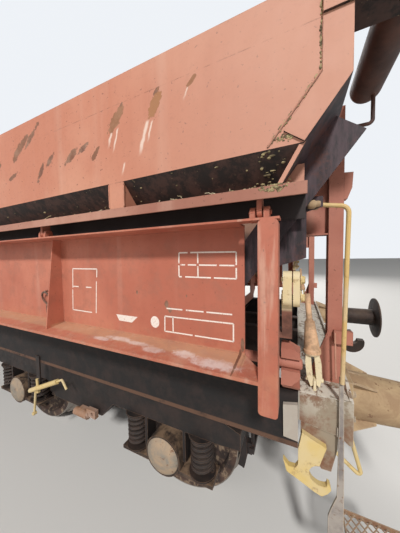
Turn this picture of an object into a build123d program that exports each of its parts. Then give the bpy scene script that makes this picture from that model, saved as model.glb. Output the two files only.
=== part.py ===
from build123d import *
import math
import os

# Four-axle self-discharging hopper wagon on standard gauge, in millimetres.
# X runs along the wagon, Y across it, Z up from the flange tips; the origin is under the wagon's middle.
# End a is at +X, end b at -X; the near side is at -Y, the far side at +Y.

# Wheels and axles
RAIL_TOP = 28                     # rail top above the flange tips
TREAD_R = 460
FLANGE_R = TREAD_R + RAIL_TOP
AXLE_Z = FLANGE_R
WHEEL_BACK = 680                  # from the middle of the axle to the wheel's back
FLANGE_T = 32
WHEEL_W = 135
TREAD_TAPER = 4
HUB_R = 130
HUB_W = 170
RIM_IN_R = 396
WEB_T = 24
AXLE_R = 80
SEAT_R = 92
JOURNAL_R = 60
JOURNAL_Y = 1000
JOURNAL_END = 1040

# Bogies
PIVOT_X = 3700
WHEELBASE = 1800
FRAME_Y = 1000                    # middle of the bogie's side frame
FRAME_T = 100
FRAME_TOP = 860
FRAME_LOW = 690
FRAME_BELLY = 560
FRAME_HALF = 1430
BOX_R = 135
BOX_W = 150
BOX_FRONT = 1080
HORN_GAP = 8
SPRING_X = 265                    # springs beside the axle
SPRING_R = 95
SPRING_SEAT = 20
BOLSTER_HALF = 240
BOLSTER_TOP = 800
BOWL_R = 170
PIN_R = 30
PIN_GAP = 0.5
SEAT_GAP = 0.3
SHOE_GAP = 7
SHOE_T = 45
SHOE_W = 80

# Wagon body
HEADSTOCK_X = 5650                # outer face of the headstock
BODY_HALF = 1450                  # outer face of the side wall
TOP_Z = 2660
RIM_H = 125
RIM_W = 95
RIM_PROUD = 16                    # end plates of the rim, from the side's face
RIM_PLATE_X = 5487
RIM_WALL = 6
RIM_END = HEADSTOCK_X + 130
PLATE_T = 8
WALL_FOOT_Z = TOP_Z - 475         # lower edge of the upright side wall
SHELF_TOP_Z = TOP_Z - 594
SHELF_H = 40
SHELF_END_X = 5450
SLOPE_FOOT = BODY_HALF - 115      # where the inward slope meets the shelf
END_X = 5563                      # outer face of the upright end wall
END_KNEE_Z = TOP_Z - 311
END_SLOPE = math.radians(53.2)
EDGE_BAND = 76
RIDGE_Z = TOP_Z - 260
FLOOR_EDGE_Y = BODY_HALF - 166
FLOOR_EDGE_Z = 1500
END_RIB_DEPTH = 110
CORNER_PLATE_X = 5455             # outer edge of the corner plates on the end slope

# Discharge doors
DOOR_MID_X = 2730                 # middle of each door from the wagon's middle
DOOR_HALF = 2486                  # half of the door panel's length
ARM_AT = 2600                     # end arms from the door's middle
RIB_AT = (-1240, 0, 1240)         # ribs from the door's middle
HINGE_AT = (-2566,) + RIB_AT + (2566,)
DOOR_Y = BODY_HALF - 150          # outer face of the panel
DOOR_EDGE_Y = BODY_HALF
DOOR_TOP_Z = SHELF_TOP_Z - 111
LEDGE_Z = 1400                    # ledge along the panel's foot
LEDGE_FALL = 20
LEDGE_EDGE = 16
ARM_W = 68
ARM_D = 60
ARM_FOOT_Z = 1258
RIB_T = 10
RIB_TOP_W = 52
RIB_FOOT_W = 115
HINGE_Y = BODY_HALF - 60
HINGE_Z = SHELF_TOP_Z - 76
HINGE_PIN_R = 9
HINGE_GAP = 0.5
EAR_T = 20
EAR_GAP = 30
EAR_R = 24
KNUCKLE_T = 18
MIDPOST_HALF = 40

# Underframe
SOLE_Y = 1130
SOLE_H = 280
SOLE_FLANGE = 90
FRAME_TOP_Z = 1185
SILL_Y = 250
WEB = 10
HEADSTOCK_IN = 5430
HEADSTOCK_Y = 1120
HEADSTOCK_LOW = 985
BODY_BOLSTER = 150
CROSS_X = (0, 900, 1800, 2300)    # cross members between the sole bars
CROSS_FRAME_X = (0, 1200, 2400, 3600, 4800)

# Buffers and draw gear
BUFFER_LENGTH = 620
BUFFER_Z = RAIL_TOP + 1060
BUFFER_Y = 875
BUFFER_BASE = 300
CASING_R = 118
PLUNGER_R = 92
BUFFER_HEAD_R = 225
HEAD_T = 36

# End posts, rails and levers
POST_Y = 980
POST_D = 90
POST_X = (END_X, 5625)
POST_FLANGE = 10
SHAFT_Y = BODY_HALF - 215
SHAFT_Z = 1370
SHAFT_R = 23
RAIL_R = 10

SIDES = (-1, 1)
ENDS = (1, -1)

nodes = {}


def add(name, *solids):
    nodes.setdefault(name, []).extend(solids)


def prism_x(points, x0, x1):
    """Outline of (y, z) points drawn out along X."""
    plane = Plane(origin=(x0, 0, 0), x_dir=(0, 1, 0), z_dir=(1, 0, 0))
    return extrude(plane * Polygon(*points, align=None), amount=x1 - x0, dir=plane.z_dir)


def prism_y(points, y0, y1):
    """Outline of (x, z) points drawn out along Y."""
    plane = Plane(origin=(0, y1, 0), x_dir=(1, 0, 0), z_dir=(0, -1, 0))
    return extrude(plane * Polygon(*points, align=None), amount=y1 - y0, dir=plane.z_dir)


def prism_z(points, z0, z1):
    """Outline of (x, y) points drawn out along Z."""
    return extrude(Plane.XY.offset(z0) * Polygon(*points, align=None), amount=z1 - z0, dir=(0, 0, 1))


def block(x, y, z):
    """Box between the two ends that are given for each axis."""
    centre = ((x[0] + x[1]) / 2, (y[0] + y[1]) / 2, (z[0] + z[1]) / 2)
    return Pos(*centre) * Box(abs(x[1] - x[0]), abs(y[1] - y[0]), abs(z[1] - z[0]))


def rod(start, end, radius):
    """Round bar between two points."""
    line = Vector(*end) - Vector(*start)
    return extrude(Plane(origin=start, z_dir=line.normalized()) * Circle(radius), amount=line.length)


def pipe(points, radius, bend):
    """Round bar bent along a path, with one bend radius for all its corners."""
    path = FilletPolyline(*points, radius=bend)
    return sweep(Plane(origin=path @ 0, z_dir=path % 0) * Circle(radius), path=path)


def sheet(points, thickness):
    """Outline of a bent sheet: the points, and the same line moved to their left with mitred bends."""
    moved = []
    for i, point in enumerate(points):
        normals = []
        for a, b in zip(points[max(i - 1, 0):i + 1], points[max(i, 1):i + 2]):
            length = math.dist(a, b)
            normals.append(((a[1] - b[1]) / length, (b[0] - a[0]) / length))
        nx = sum(n[0] for n in normals)
        ny = sum(n[1] for n in normals)
        size = nx * normals[0][0] + ny * normals[0][1]
        moved.append((point[0] + nx / size * thickness, point[1] + ny / size * thickness))
    return list(points) + moved[::-1]


def mirrored(points):
    return [(-a, b) for a, b in points][::-1]


def in_y(solid, side):
    """The piece as drawn at +Y, or its mirror image at -Y."""
    return solid if side > 0 else mirror(solid, about=Plane.XZ)


def in_x(solid, end):
    """The piece as drawn at end a, or its mirror image at end b."""
    return solid if end > 0 else mirror(solid, about=Plane.YZ)


def at_corners(name, solid):
    """The piece as drawn at +X, +Y, and its images at the other three corners."""
    for end in ENDS:
        for side in SIDES:
            add(name, in_x(in_y(solid, side), end))


# Hopper

def end_x(z):
    """X of the end wall's outer face at height z."""
    return END_X - max(END_KNEE_Z - z, 0) / math.tan(END_SLOPE)


def beyond_end(inset):
    """Everything past the end wall's outer face, moved inwards by inset."""
    low = FLOOR_EDGE_Z - 400
    line = [(END_X, TOP_Z + 200), (END_X, END_KNEE_Z), (end_x(low), low)]
    line = sheet(line, -inset)[:2:-1] if inset else line
    return prism_y(line + [(END_X + 900, low), (END_X + 900, TOP_Z + 200)], -2 * BODY_HALF, 2 * BODY_HALF)


SIDE_LINE = [(BODY_HALF, TOP_Z - RIM_H), (BODY_HALF, WALL_FOOT_Z), (SLOPE_FOOT, SHELF_TOP_Z)]
SIDE_SHEET = sheet(SIDE_LINE, -PLATE_T)
hopper_half = [(0, RIDGE_Z), (FLOOR_EDGE_Y, FLOOR_EDGE_Z), (FLOOR_EDGE_Y, SHELF_TOP_Z)] + SIDE_SHEET[3:]
HOPPER_SECTION = hopper_half + mirrored(hopper_half)[:-1]


def side_walls():
    skin = prism_x(SIDE_SHEET, -END_X, END_X)
    for end in ENDS:
        skin -= in_x(beyond_end(0), end)
    edge = [(END_X, TOP_Z - RIM_H), (END_X, END_KNEE_Z), (end_x(WALL_FOOT_Z), WALL_FOOT_Z)]
    band = prism_y(sheet(edge, -EDGE_BAND), BODY_HALF, BODY_HALF + PLATE_T)
    wall = skin + band + in_x(band, -1)
    for side in SIDES:
        add("side_walls", in_y(wall, side))


def wall_straps():
    """Upright straps between the side wall's lower edge and the shelf beam, and the end gussets."""
    for x in (-1915, 0, 1915):
        outline = [(BODY_HALF, WALL_FOOT_Z), (BODY_HALF, SHELF_TOP_Z), (SLOPE_FOOT + 4, SHELF_TOP_Z)]
        strap = prism_x(outline, x - 45, x + 45)
        for end in ENDS:
            for side in SIDES:
                add("wall_straps", in_x(in_y(Pos(DOOR_MID_X) * strap, side), end))
    top = WALL_FOOT_Z - 25
    gusset = [(end_x(SHELF_TOP_Z), SHELF_TOP_Z), (SHELF_END_X - 6, SHELF_TOP_Z), (SHELF_END_X - 6, top), (end_x(top), top)]
    at_corners("wall_straps", prism_y(gusset, SLOPE_FOOT + 1, SLOPE_FOOT + 1 + PLATE_T))


def end_walls():
    low = FLOOR_EDGE_Z - 60
    line = [(END_X, TOP_Z - RIM_H), (END_X, END_KNEE_Z), (end_x(low), low)]
    wall = prism_y(sheet(line, -PLATE_T), -BODY_HALF, BODY_HALF) & prism_x(HOPPER_SECTION, 0.7 * END_X, END_X + 400)
    for y in (-FLOOR_EDGE_Y + WEB / 2, -480, 480, FLOOR_EDGE_Y - WEB / 2):
        foot = RIDGE_Z - (RIDGE_Z - FLOOR_EDGE_Z) * abs(y) / FLOOR_EDGE_Y + 40
        run = [(end_x(END_KNEE_Z - 20), END_KNEE_Z - 20), (end_x(foot), foot)]
        if foot < END_KNEE_Z - 100:
            wall += prism_y(sheet(run, END_RIB_DEPTH), y - WEB / 2, y + WEB / 2)
    top, low, foot = SHELF_TOP_Z - 6, SHELF_TOP_Z - 246, SHELF_TOP_Z - 366
    corner = [(end_x(top), top), (CORNER_PLATE_X + 57, top), (CORNER_PLATE_X + 57, top - 40),
              (CORNER_PLATE_X, top - 55), (CORNER_PLATE_X, low), (end_x(foot), foot)]
    for side in SIDES:
        wall += in_y(prism_y(corner, FLOOR_EDGE_Y - 44, FLOOR_EDGE_Y - 34), side)
    for end in ENDS:
        add("end_walls", in_x(wall, end))


def saddle_floor():
    plate = prism_x(sheet([(0, RIDGE_Z), (FLOOR_EDGE_Y, FLOOR_EDGE_Z)], -PLATE_T), -END_X, END_X)
    plate -= block((-END_X, END_X), (-PLATE_T, 0), (RIDGE_Z - 4 * PLATE_T, RIDGE_Z))
    for end in ENDS:
        plate -= in_x(beyond_end(PLATE_T), end)
    for side, name in ((-1, "saddle_floor_near"), (1, "saddle_floor_far")):
        add(name, in_y(plate, side))


def top_rim():
    """Hollow rim along each side, flush with the wall, with a raised plate at each end."""
    inner = BODY_HALF - RIM_W
    z = (TOP_Z - RIM_H, TOP_Z)
    for side in SIDES:
        tube = block((-RIM_END, RIM_END), (inner, BODY_HALF), z)
        tube -= block((-RIM_END, RIM_END), (inner + RIM_WALL, BODY_HALF - RIM_WALL), (z[0] + RIM_WALL, z[1] - RIM_WALL))
        for end in ENDS:
            tube += block((end * RIM_PLATE_X, end * RIM_END), (BODY_HALF, BODY_HALF + RIM_PROUD), z)
        add("top_rim", in_y(tube, side))
    for end in ENDS:
        x = (END_X - 60, END_X + 12)
        beam = block(x, (-inner, inner), z)
        beam -= block((x[0] + RIM_WALL, x[1] - RIM_WALL), (-inner, inner), (z[0] + RIM_WALL, z[1] - RIM_WALL))
        add("end_rim", in_x(beam, end))


def end_tubes():
    """Short round tubes with domed ends on the rim's overhang, each with its step rod."""
    radius = 62
    x = HEADSTOCK_X + 55
    z = TOP_Z - RIM_H / 2
    inner = BODY_HALF - RIM_W
    outline = Plane.XY * (Rectangle(radius, 440, align=(Align.MIN, Align.MIN)))
    tube = revolve(Pos(0, 0, 0) * outline, Axis.Y)
    tube = fillet(tube.edges().sort_by(Axis.Y)[0], radius * 0.8)
    tube = Pos(x, inner - 440, z) * tube
    step_z = z - 180
    knee = (x + 20, POST_Y + 15, step_z)
    step = pipe([(x + 20, POST_Y + 15, z - radius + 8), knee, (POST_X[1] - 6, POST_Y + 15, step_z)], 8, 18)
    at_corners("end_tubes", tube + step)


# Shelf beams, doors and hinges

def shelf_beams():
    z0 = SHELF_TOP_Z - SHELF_H
    shelf = block((-SHELF_END_X, SHELF_END_X), (FLOOR_EDGE_Y + PLATE_T, BODY_HALF), (z0, SHELF_TOP_Z))
    shelf -= block((-SHELF_END_X, SHELF_END_X), (FLOOR_EDGE_Y + 2 * PLATE_T, BODY_HALF - PLATE_T),
                   (z0, SHELF_TOP_Z - PLATE_T))
    shelf += block((-SHELF_END_X, SHELF_END_X), (FLOOR_EDGE_Y + PLATE_T, FLOOR_EDGE_Y + 2 * PLATE_T),
                   (DOOR_TOP_Z + 16, z0 + PLATE_T))
    for side in SIDES:
        add("shelf_beams", in_y(shelf, side))


def hinge_ears():
    """An ear under the shelf with the hinge pin through it, at each arm and rib of each door."""
    reach = EAR_GAP / 2 + EAR_T + 6
    for at in HINGE_AT:
        x = DOOR_MID_X + at
        ear = rod((x - reach, HINGE_Y, HINGE_Z), (x + reach, HINGE_Y, HINGE_Z), HINGE_PIN_R)
        ear += rod((x - KNUCKLE_T / 2, HINGE_Y, HINGE_Z), (x + KNUCKLE_T / 2, HINGE_Y, HINGE_Z), EAR_R - 2)
        ear += block((x - KNUCKLE_T / 2, x + KNUCKLE_T / 2), (HINGE_Y - EAR_R, HINGE_Y + EAR_R),
                     (HINGE_Z + 4, SHELF_TOP_Z - PLATE_T))
        at_corners("hinge_ears", ear)


def door():
    """One door as drawn at +X, +Y: panel with top flange and foot ledge, ribs, end arms and hinge lugs."""
    line = [(DOOR_EDGE_Y, DOOR_TOP_Z), (DOOR_Y, DOOR_TOP_Z), (DOOR_Y, LEDGE_Z),
            (DOOR_EDGE_Y, LEDGE_Z - LEDGE_FALL), (DOOR_EDGE_Y, LEDGE_Z - LEDGE_FALL - LEDGE_EDGE)]
    panel = prism_x(sheet(line, -PLATE_T), -DOOR_HALF, DOOR_HALF)
    for at in RIB_AT:
        foot = LEDGE_Z - LEDGE_FALL * RIB_FOOT_W / (DOOR_EDGE_Y - DOOR_Y) - 3
        rib = [(DOOR_Y, DOOR_TOP_Z - 1), (DOOR_Y + RIB_TOP_W, DOOR_TOP_Z - 1),
               (DOOR_Y + RIB_FOOT_W, foot), (DOOR_Y, LEDGE_Z - 3)]
        panel += prism_x(rib, at - RIB_T / 2, at + RIB_T / 2)
    for end in ENDS:
        x = end * ARM_AT
        arm = block((x - ARM_W / 2, x + ARM_W / 2), (DOOR_EDGE_Y - ARM_D, DOOR_EDGE_Y), (ARM_FOOT_Z, DOOR_TOP_Z))
        arm = fillet(arm.edges().filter_by(Axis.Y), 14)
        arm -= block((x - ARM_W / 2 + 8, x + ARM_W / 2 - 8), (DOOR_EDGE_Y - ARM_D, DOOR_EDGE_Y - 8),
                     (ARM_FOOT_Z + 10, DOOR_TOP_Z - 10))
        near = x - end * (ARM_W / 2 - 4)
        tie = prism_x(sheet(line[2:], -PLATE_T), near, end * DOOR_HALF)
        notch = [(end * DOOR_HALF, DOOR_Y - 20), (end * DOOR_HALF, DOOR_Y + 2), (near, DOOR_Y + 88), (near, DOOR_Y - 20)]
        tie -= prism_z(notch, ARM_FOOT_Z, LEDGE_Z + 20)
        bar = block((end * DOOR_HALF, x + end * (ARM_W / 2 + 4)), (DOOR_EDGE_Y - ARM_D, DOOR_EDGE_Y),
                    (DOOR_TOP_Z, DOOR_TOP_Z + PLATE_T))
        panel += arm + tie + bar
    for at in HINGE_AT:
        for way in (-1, 1):
            lug_x = (at + way * EAR_GAP / 2, at + way * (EAR_GAP / 2 + EAR_T))
            lug = block(lug_x, (HINGE_Y - EAR_R, HINGE_Y + EAR_R), (DOOR_TOP_Z + 2, HINGE_Z - 4))
            lug += rod((min(lug_x), HINGE_Y, HINGE_Z), (max(lug_x), HINGE_Y, HINGE_Z), EAR_R - 2)
            panel += lug
        panel -= rod((at - 60, HINGE_Y, HINGE_Z), (at + 60, HINGE_Y, HINGE_Z), HINGE_PIN_R + HINGE_GAP)
    return Pos(DOOR_MID_X) * panel


def doors():
    one = door()
    for side, place in ((-1, "near"), (1, "far")):
        for end, letter in ((1, "a"), (-1, "b")):
            add(f"door_{place}_{letter}", in_x(in_y(one, side), end))


def under_saddle(y):
    """Height of the saddle floor's underside."""
    slope = math.atan2(RIDGE_Z - FLOOR_EDGE_Z, FLOOR_EDGE_Y)
    return RIDGE_Z - y * math.tan(slope) - PLATE_T / math.cos(slope)


def middle_posts():
    """Fixed post between the two doors of a side, with a foot that reaches in under the saddle floor's edge."""
    inner = DOOR_Y + 10
    outer = BODY_HALF - 20
    under = (FLOOR_EDGE_Y - 34, FLOOR_EDGE_Y - 5)
    outline = [(inner, SHELF_TOP_Z - PLATE_T), (outer, SHELF_TOP_Z - PLATE_T), (outer, ARM_FOOT_Z), (inner, ARM_FOOT_Z),
               (inner, FLOOR_EDGE_Z - 70), (under[0], FLOOR_EDGE_Z - 50), (under[0], under_saddle(under[0])),
               (under[1], under_saddle(under[1])), (inner, FLOOR_EDGE_Z - 20)]
    post = prism_x(outline, -MIDPOST_HALF, MIDPOST_HALF)
    post -= block((-WEB / 2, WEB / 2), (under[0] - 1, FLOOR_EDGE_Y - 14), (ARM_FOOT_Z, RIDGE_Z))
    for side in SIDES:
        add("middle_posts", in_y(post, side))


# Underframe

def cross_frames():
    """Plates that carry the saddle floor on the sole bars, with two windows each."""
    outer = FLOOR_EDGE_Y - 14
    half = [(0, under_saddle(0)), (outer, under_saddle(outer)), (outer, SHAFT_Z - 60), (SOLE_Y, FRAME_TOP_Z + 50),
            (SOLE_Y, FRAME_TOP_Z)]
    window = [(60, under_saddle(60) - 120), (900, under_saddle(900) - 120), (900, 1300), (60, 1300)]
    plate = prism_x(mirrored(half)[:-1] + half, -WEB / 2, WEB / 2)
    for side in SIDES:
        plate -= in_y(prism_x(window, -WEB, WEB), side)
        plate -= rod((-WEB, side * SHAFT_Y, SHAFT_Z), (WEB, side * SHAFT_Y, SHAFT_Z), SHAFT_R + 10)
    for x in CROSS_FRAME_X:
        add("cross_frames", Pos(x) * plate)
        if x:
            add("cross_frames", Pos(-x) * plate)


def channel(y, inwards, flange, x0, x1):
    """Channel along X with its web's outer face at y and its flanges towards inwards."""
    low = FRAME_TOP_Z - SOLE_H
    outline = [(y, FRAME_TOP_Z), (y + inwards * flange, FRAME_TOP_Z), (y + inwards * flange, FRAME_TOP_Z - WEB),
               (y + inwards * WEB, FRAME_TOP_Z - WEB), (y + inwards * WEB, low + WEB),
               (y + inwards * flange, low + WEB), (y + inwards * flange, low), (y, low)]
    return prism_x(outline, x0, x1)


def longitudinals():
    for side in SIDES:
        add("sole_bars", channel(side * SOLE_Y, -side, SOLE_FLANGE, -HEADSTOCK_IN, HEADSTOCK_IN))
        add("centre_sill", channel(side * SILL_Y, -side, 70, -HEADSTOCK_IN, HEADSTOCK_IN))


def cross_members():
    low = FRAME_TOP_Z - SOLE_H
    inner = SOLE_Y - SOLE_FLANGE

    def beam(x, depth, y0, y1):
        z0 = FRAME_TOP_Z - depth
        one = block((x - 50, x + 50), (y0, y1), (z0, z0 + WEB))
        one += block((x - 50, x + 50), (y0, y1), (FRAME_TOP_Z - WEB, FRAME_TOP_Z))
        return one + block((x - WEB / 2, x + WEB / 2), (y0, y1), (z0, FRAME_TOP_Z))

    for at, depth in [(x, SOLE_H) for x in CROSS_X] + [(PIVOT_X - 1000, 100), (PIVOT_X + 1000, 100)]:
        for x in sorted({at, -at}):
            for side in SIDES:
                add("cross_members", in_y(beam(x, depth, SILL_Y, inner), side))
    for end in ENDS:
        x = (PIVOT_X - BODY_BOLSTER, PIVOT_X + BODY_BOLSTER)
        for side in SIDES:
            wing = block(x, (SILL_Y, inner), (low, FRAME_TOP_Z))
            wing -= block((x[0] + WEB, x[1] - WEB), (SILL_Y, inner), (low + WEB, FRAME_TOP_Z - WEB))
            pad = block((PIVOT_X - 70, PIVOT_X + 70), (650, 750), (low - 15, low))
            add("body_bolsters", in_x(in_y(wing + pad, side), end))
        centre = block(x, (-SILL_Y + 70, SILL_Y - 70), (low, FRAME_TOP_Z))
        centre += rod((PIVOT_X, 0, low - 20), (PIVOT_X, 0, low), BOWL_R)
        centre += rod((PIVOT_X, 0, FRAME_BELLY + 100), (PIVOT_X, 0, low), PIN_R)
        add("body_bolsters", in_x(centre, end))


def headstocks():
    face = HEADSTOCK_X - 14
    front = [(HEADSTOCK_Y, FRAME_TOP_Z), (HEADSTOCK_Y, HEADSTOCK_LOW), (BUFFER_Y + 135, 930), (300, 905), (-300, 905),
             (-BUFFER_Y - 135, 930), (-HEADSTOCK_Y, HEADSTOCK_LOW), (-HEADSTOCK_Y, FRAME_TOP_Z),
             (-BUFFER_Y - 135, 1215), (BUFFER_Y + 135, 1215)]
    beam = prism_x(front, face, HEADSTOCK_X)
    beam += block((HEADSTOCK_IN, face), (-HEADSTOCK_Y, HEADSTOCK_Y), (FRAME_TOP_Z - WEB, FRAME_TOP_Z))
    beam += block((HEADSTOCK_IN, HEADSTOCK_IN + WEB), (-HEADSTOCK_Y, HEADSTOCK_Y), (1090, FRAME_TOP_Z))
    beam -= block((face - 1, HEADSTOCK_X + 1), (-28, 28), (BUFFER_Z - 35, BUFFER_Z + 35))
    for side in SIDES:
        cheek = [(HEADSTOCK_IN, FRAME_TOP_Z), (face, FRAME_TOP_Z), (face, HEADSTOCK_LOW), (HEADSTOCK_X - 50, 1015),
                 (HEADSTOCK_X - 125, 1024), (HEADSTOCK_IN, 1042)]
        beam += in_y(prism_y(cheek, HEADSTOCK_Y - WEB, HEADSTOCK_Y), side)
        beam += in_y(prism_y(cheek, SILL_Y - WEB, SILL_Y), side)
        corner = [(-208, 1100), (-52, 1100), (-56, 946), (-80, 828), (-120, 826), (-170, 900), (-208, 960)]
        corner = [(HEADSTOCK_X + x, z) for x, z in corner]
        beam += in_y(prism_y(corner, HEADSTOCK_Y - 36, HEADSTOCK_Y - WEB), side)
    for end in ENDS:
        add("headstocks", in_x(beam, end))
    hanger = [(-286, 1118), (-222, 1132), (-220, 956), (-284, 962)]
    hanger = [(HEADSTOCK_X + x, z) for x, z in hanger]
    at_corners("headstocks", prism_y(hanger, SOLE_Y, SOLE_Y + 22))


def end_posts():
    """H-section posts on the headstock with the gusset that ties each to the end slope."""
    x0, x1 = POST_X
    top = TOP_Z - RIM_H
    post = block((x0, x1), (POST_Y - POST_FLANGE, POST_Y), (FRAME_TOP_Z, top))
    post += block((x0, x1), (POST_Y - POST_D, POST_Y - POST_D + POST_FLANGE), (FRAME_TOP_Z, top))
    middle = (x0 + x1) / 2
    post += block((middle - 4, middle + 4), (POST_Y - POST_D, POST_Y), (FRAME_TOP_Z, top))
    mid_y = POST_Y - POST_D / 2
    shelf_z = 1940
    gusset = [(END_X, END_KNEE_Z), (end_x(1800), 1800), (end_x(1800) + 100, 1850), (x0 - 60, shelf_z),
              (middle, shelf_z), (middle, END_KNEE_Z)]
    post += prism_y(gusset, mid_y - WEB / 2, mid_y + WEB / 2)
    post += block((x0 - 200, middle), (mid_y - 40, mid_y + 40), (shelf_z - 8, shelf_z))
    foot = [(x0 - 90, FRAME_TOP_Z), (x0, FRAME_TOP_Z), (x0, FRAME_TOP_Z + 260)]
    post += prism_y(foot, POST_Y - WEB, POST_Y)
    pocket = block((x1 - 37, x1 + 41), (POST_Y, POST_Y + 24), (1394, 1459))
    pocket -= block((x1 - 31, x1 + 35), (POST_Y + 6, POST_Y + 18), (1400, 1459))
    horn = [(x1, 2225), (x1 + 37, 2222), (x1 + 33, 2150), (x1 + 15, 2100), (x1, 2098)]
    post += pocket + prism_y(horn, POST_Y - 55, POST_Y - 5)
    at_corners("end_posts", post)


def buffers():
    base = HEADSTOCK_X + 20
    casing_end = HEADSTOCK_X + BUFFER_BASE + 10
    casing = revolve(Plane.XY * Polygon((0, base), (CASING_R, base), (CASING_R - 20, casing_end),
                                        (0, casing_end), align=None), Axis.Y)
    tip = HEADSTOCK_X + BUFFER_LENGTH
    plunger = revolve(Plane.XY * Polygon((0, casing_end), (PLUNGER_R, casing_end), (PLUNGER_R, tip - HEAD_T),
                                         (0, tip - HEAD_T), align=None), Axis.Y)
    head = revolve(Plane.XY * Polygon((0, tip - HEAD_T), (PLUNGER_R + 20, tip - HEAD_T), (BUFFER_HEAD_R, tip - 24),
                                      (BUFFER_HEAD_R, tip - 12), (140, tip - 3), (60, tip), (0, tip), align=None), Axis.Y)
    turn = Rot(0, 0, -90)
    place = Pos(0, BUFFER_Y, BUFFER_Z)
    flange = block((HEADSTOCK_X, base), (BUFFER_Y - 130, BUFFER_Y + 130), (BUFFER_Z - 125, BUFFER_Z + 125))
    body = place * turn * casing + flange
    for z in (1, -1):
        rib = [(base, BUFFER_Z + z * 110), (base + 110, BUFFER_Z + z * 105), (base, BUFFER_Z + z * 124)]
        body += prism_y(rib, BUFFER_Y - 8, BUFFER_Y + 8)
    at_corners("buffer_casings", body)
    at_corners("buffer_heads", place * turn * (plunger + head))


def draw_gear():
    z = BUFFER_Z
    shank = block((HEADSTOCK_IN + WEB, HEADSTOCK_X + 150), (-28, 28), (z - 35, z + 35))
    crook = Pos(HEADSTOCK_X + 205, 0, z - 12) * Rot(90, 0, 0) * (Circle(92) - Pos(6, 22) * Circle(38))
    crook = extrude(crook, amount=28, both=True)
    crook -= block((HEADSTOCK_X + 205, HEADSTOCK_X + 320), (-30, 30), (z + 8, z + 120))
    hook = shank + crook
    pin_x = HEADSTOCK_X + 95
    coupling = rod((pin_x, -80, z), (pin_x, 80, z), 20)
    hook -= rod((pin_x, -40, z), (pin_x, 40, z), 20)
    for side in SIDES:
        y = side * 55
        coupling += rod((pin_x, y, z), (pin_x, y, z - 230), 16)
        coupling += rod((pin_x, y, z - 420), (pin_x, y, z - 620), 15)
    for down in (230, 420):
        coupling += rod((pin_x, -85, z - down), (pin_x, 85, z - down), 24)
    coupling += rod((pin_x, 0, z - 190), (pin_x, 0, z - 470), 22)
    coupling += rod((pin_x, -70, z - 620), (pin_x, 70, z - 620), 17)
    coupling += rod((pin_x - 70, 0, z - 325), (pin_x + 70, 0, z - 325), 12)
    for end in ENDS:
        add("draw_hooks", in_x(hook, end))
        add("screw_couplings", in_x(coupling, end))


def handrails():
    """Rail from the corner plate to the headstock, with a flat hanger and a step board under it."""
    y_top = FLOOR_EDGE_Y - 89
    y_low = HEADSTOCK_Y + 27
    z_top = SHELF_TOP_Z - 26
    x = HEADSTOCK_X - 52
    root = CORNER_PLATE_X + 35
    rail = pipe([(root, y_top, z_top), (x + 8, y_top, z_top - 18), (x, y_low, 1210), (x, y_low, 1010)], RAIL_R, 26)
    rail += rod((root, FLOOR_EDGE_Y - 44, z_top), (root, y_top - 16, z_top), 17)
    hanger = [(x - 11, 1060), (x + 14, 1060), (x + 14, 430), (x - 53, 430), (x - 53, 620), (x - 11, 770)]
    step = prism_y(hanger, HEADSTOCK_Y + WEB, HEADSTOCK_Y + 2 * WEB)
    step += block((x - 11, x + 14), (HEADSTOCK_Y, HEADSTOCK_Y + WEB), (1020, 1060))
    step += block((x - 300, x + 14), (HEADSTOCK_Y + WEB, HEADSTOCK_Y + 90), (430, 440))
    step += prism_y([(x - 53, 600), (x - 53, 440), (x - 230, 440)], HEADSTOCK_Y + WEB, HEADSTOCK_Y + 2 * WEB)
    at_corners("handrails", rail + step)


def shunter_rails():
    y = BUFFER_Y + 25
    rail = pipe([(HEADSTOCK_X + 10, y, 958), (HEADSTOCK_X + 88, y, 661), (HEADSTOCK_X - 160, y, 860),
                 (HEADSTOCK_X - 160, y, FRAME_TOP_Z - WEB)], 10, 12)
    at_corners("shunter_rails", rail)


# Rope hook: (x, z) from the headstock's face and the frame's top, around its round gullet
HOOK_GULLET = (-126, -374, 46)
HOOK_TIP = ((-98, -396), (-87, -401), (-82, -423), (-97, -447), (-119, -468), (-148, -461), (-225, -427), (-269, -410),
            (-286, -352), (-260, -379), (-232, -377), (-219, -355), (-219, -278), (-203, -191), (-102, -232))


def rope_hooks():
    """Two-pronged rope hook under each corner of the headstock."""
    at_x, at_z, radius = HOOK_GULLET
    outline = []
    for angle in range(95, 306, 15):
        turn = math.radians(angle)
        outline.append((at_x + radius * math.cos(turn), at_z + radius * math.sin(turn)))
    outline = [(HEADSTOCK_X + x, FRAME_TOP_Z + z) for x, z in outline + list(HOOK_TIP)]
    at_corners("rope_hooks", prism_y(outline, HEADSTOCK_Y - WEB, HEADSTOCK_Y + 16))


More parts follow.
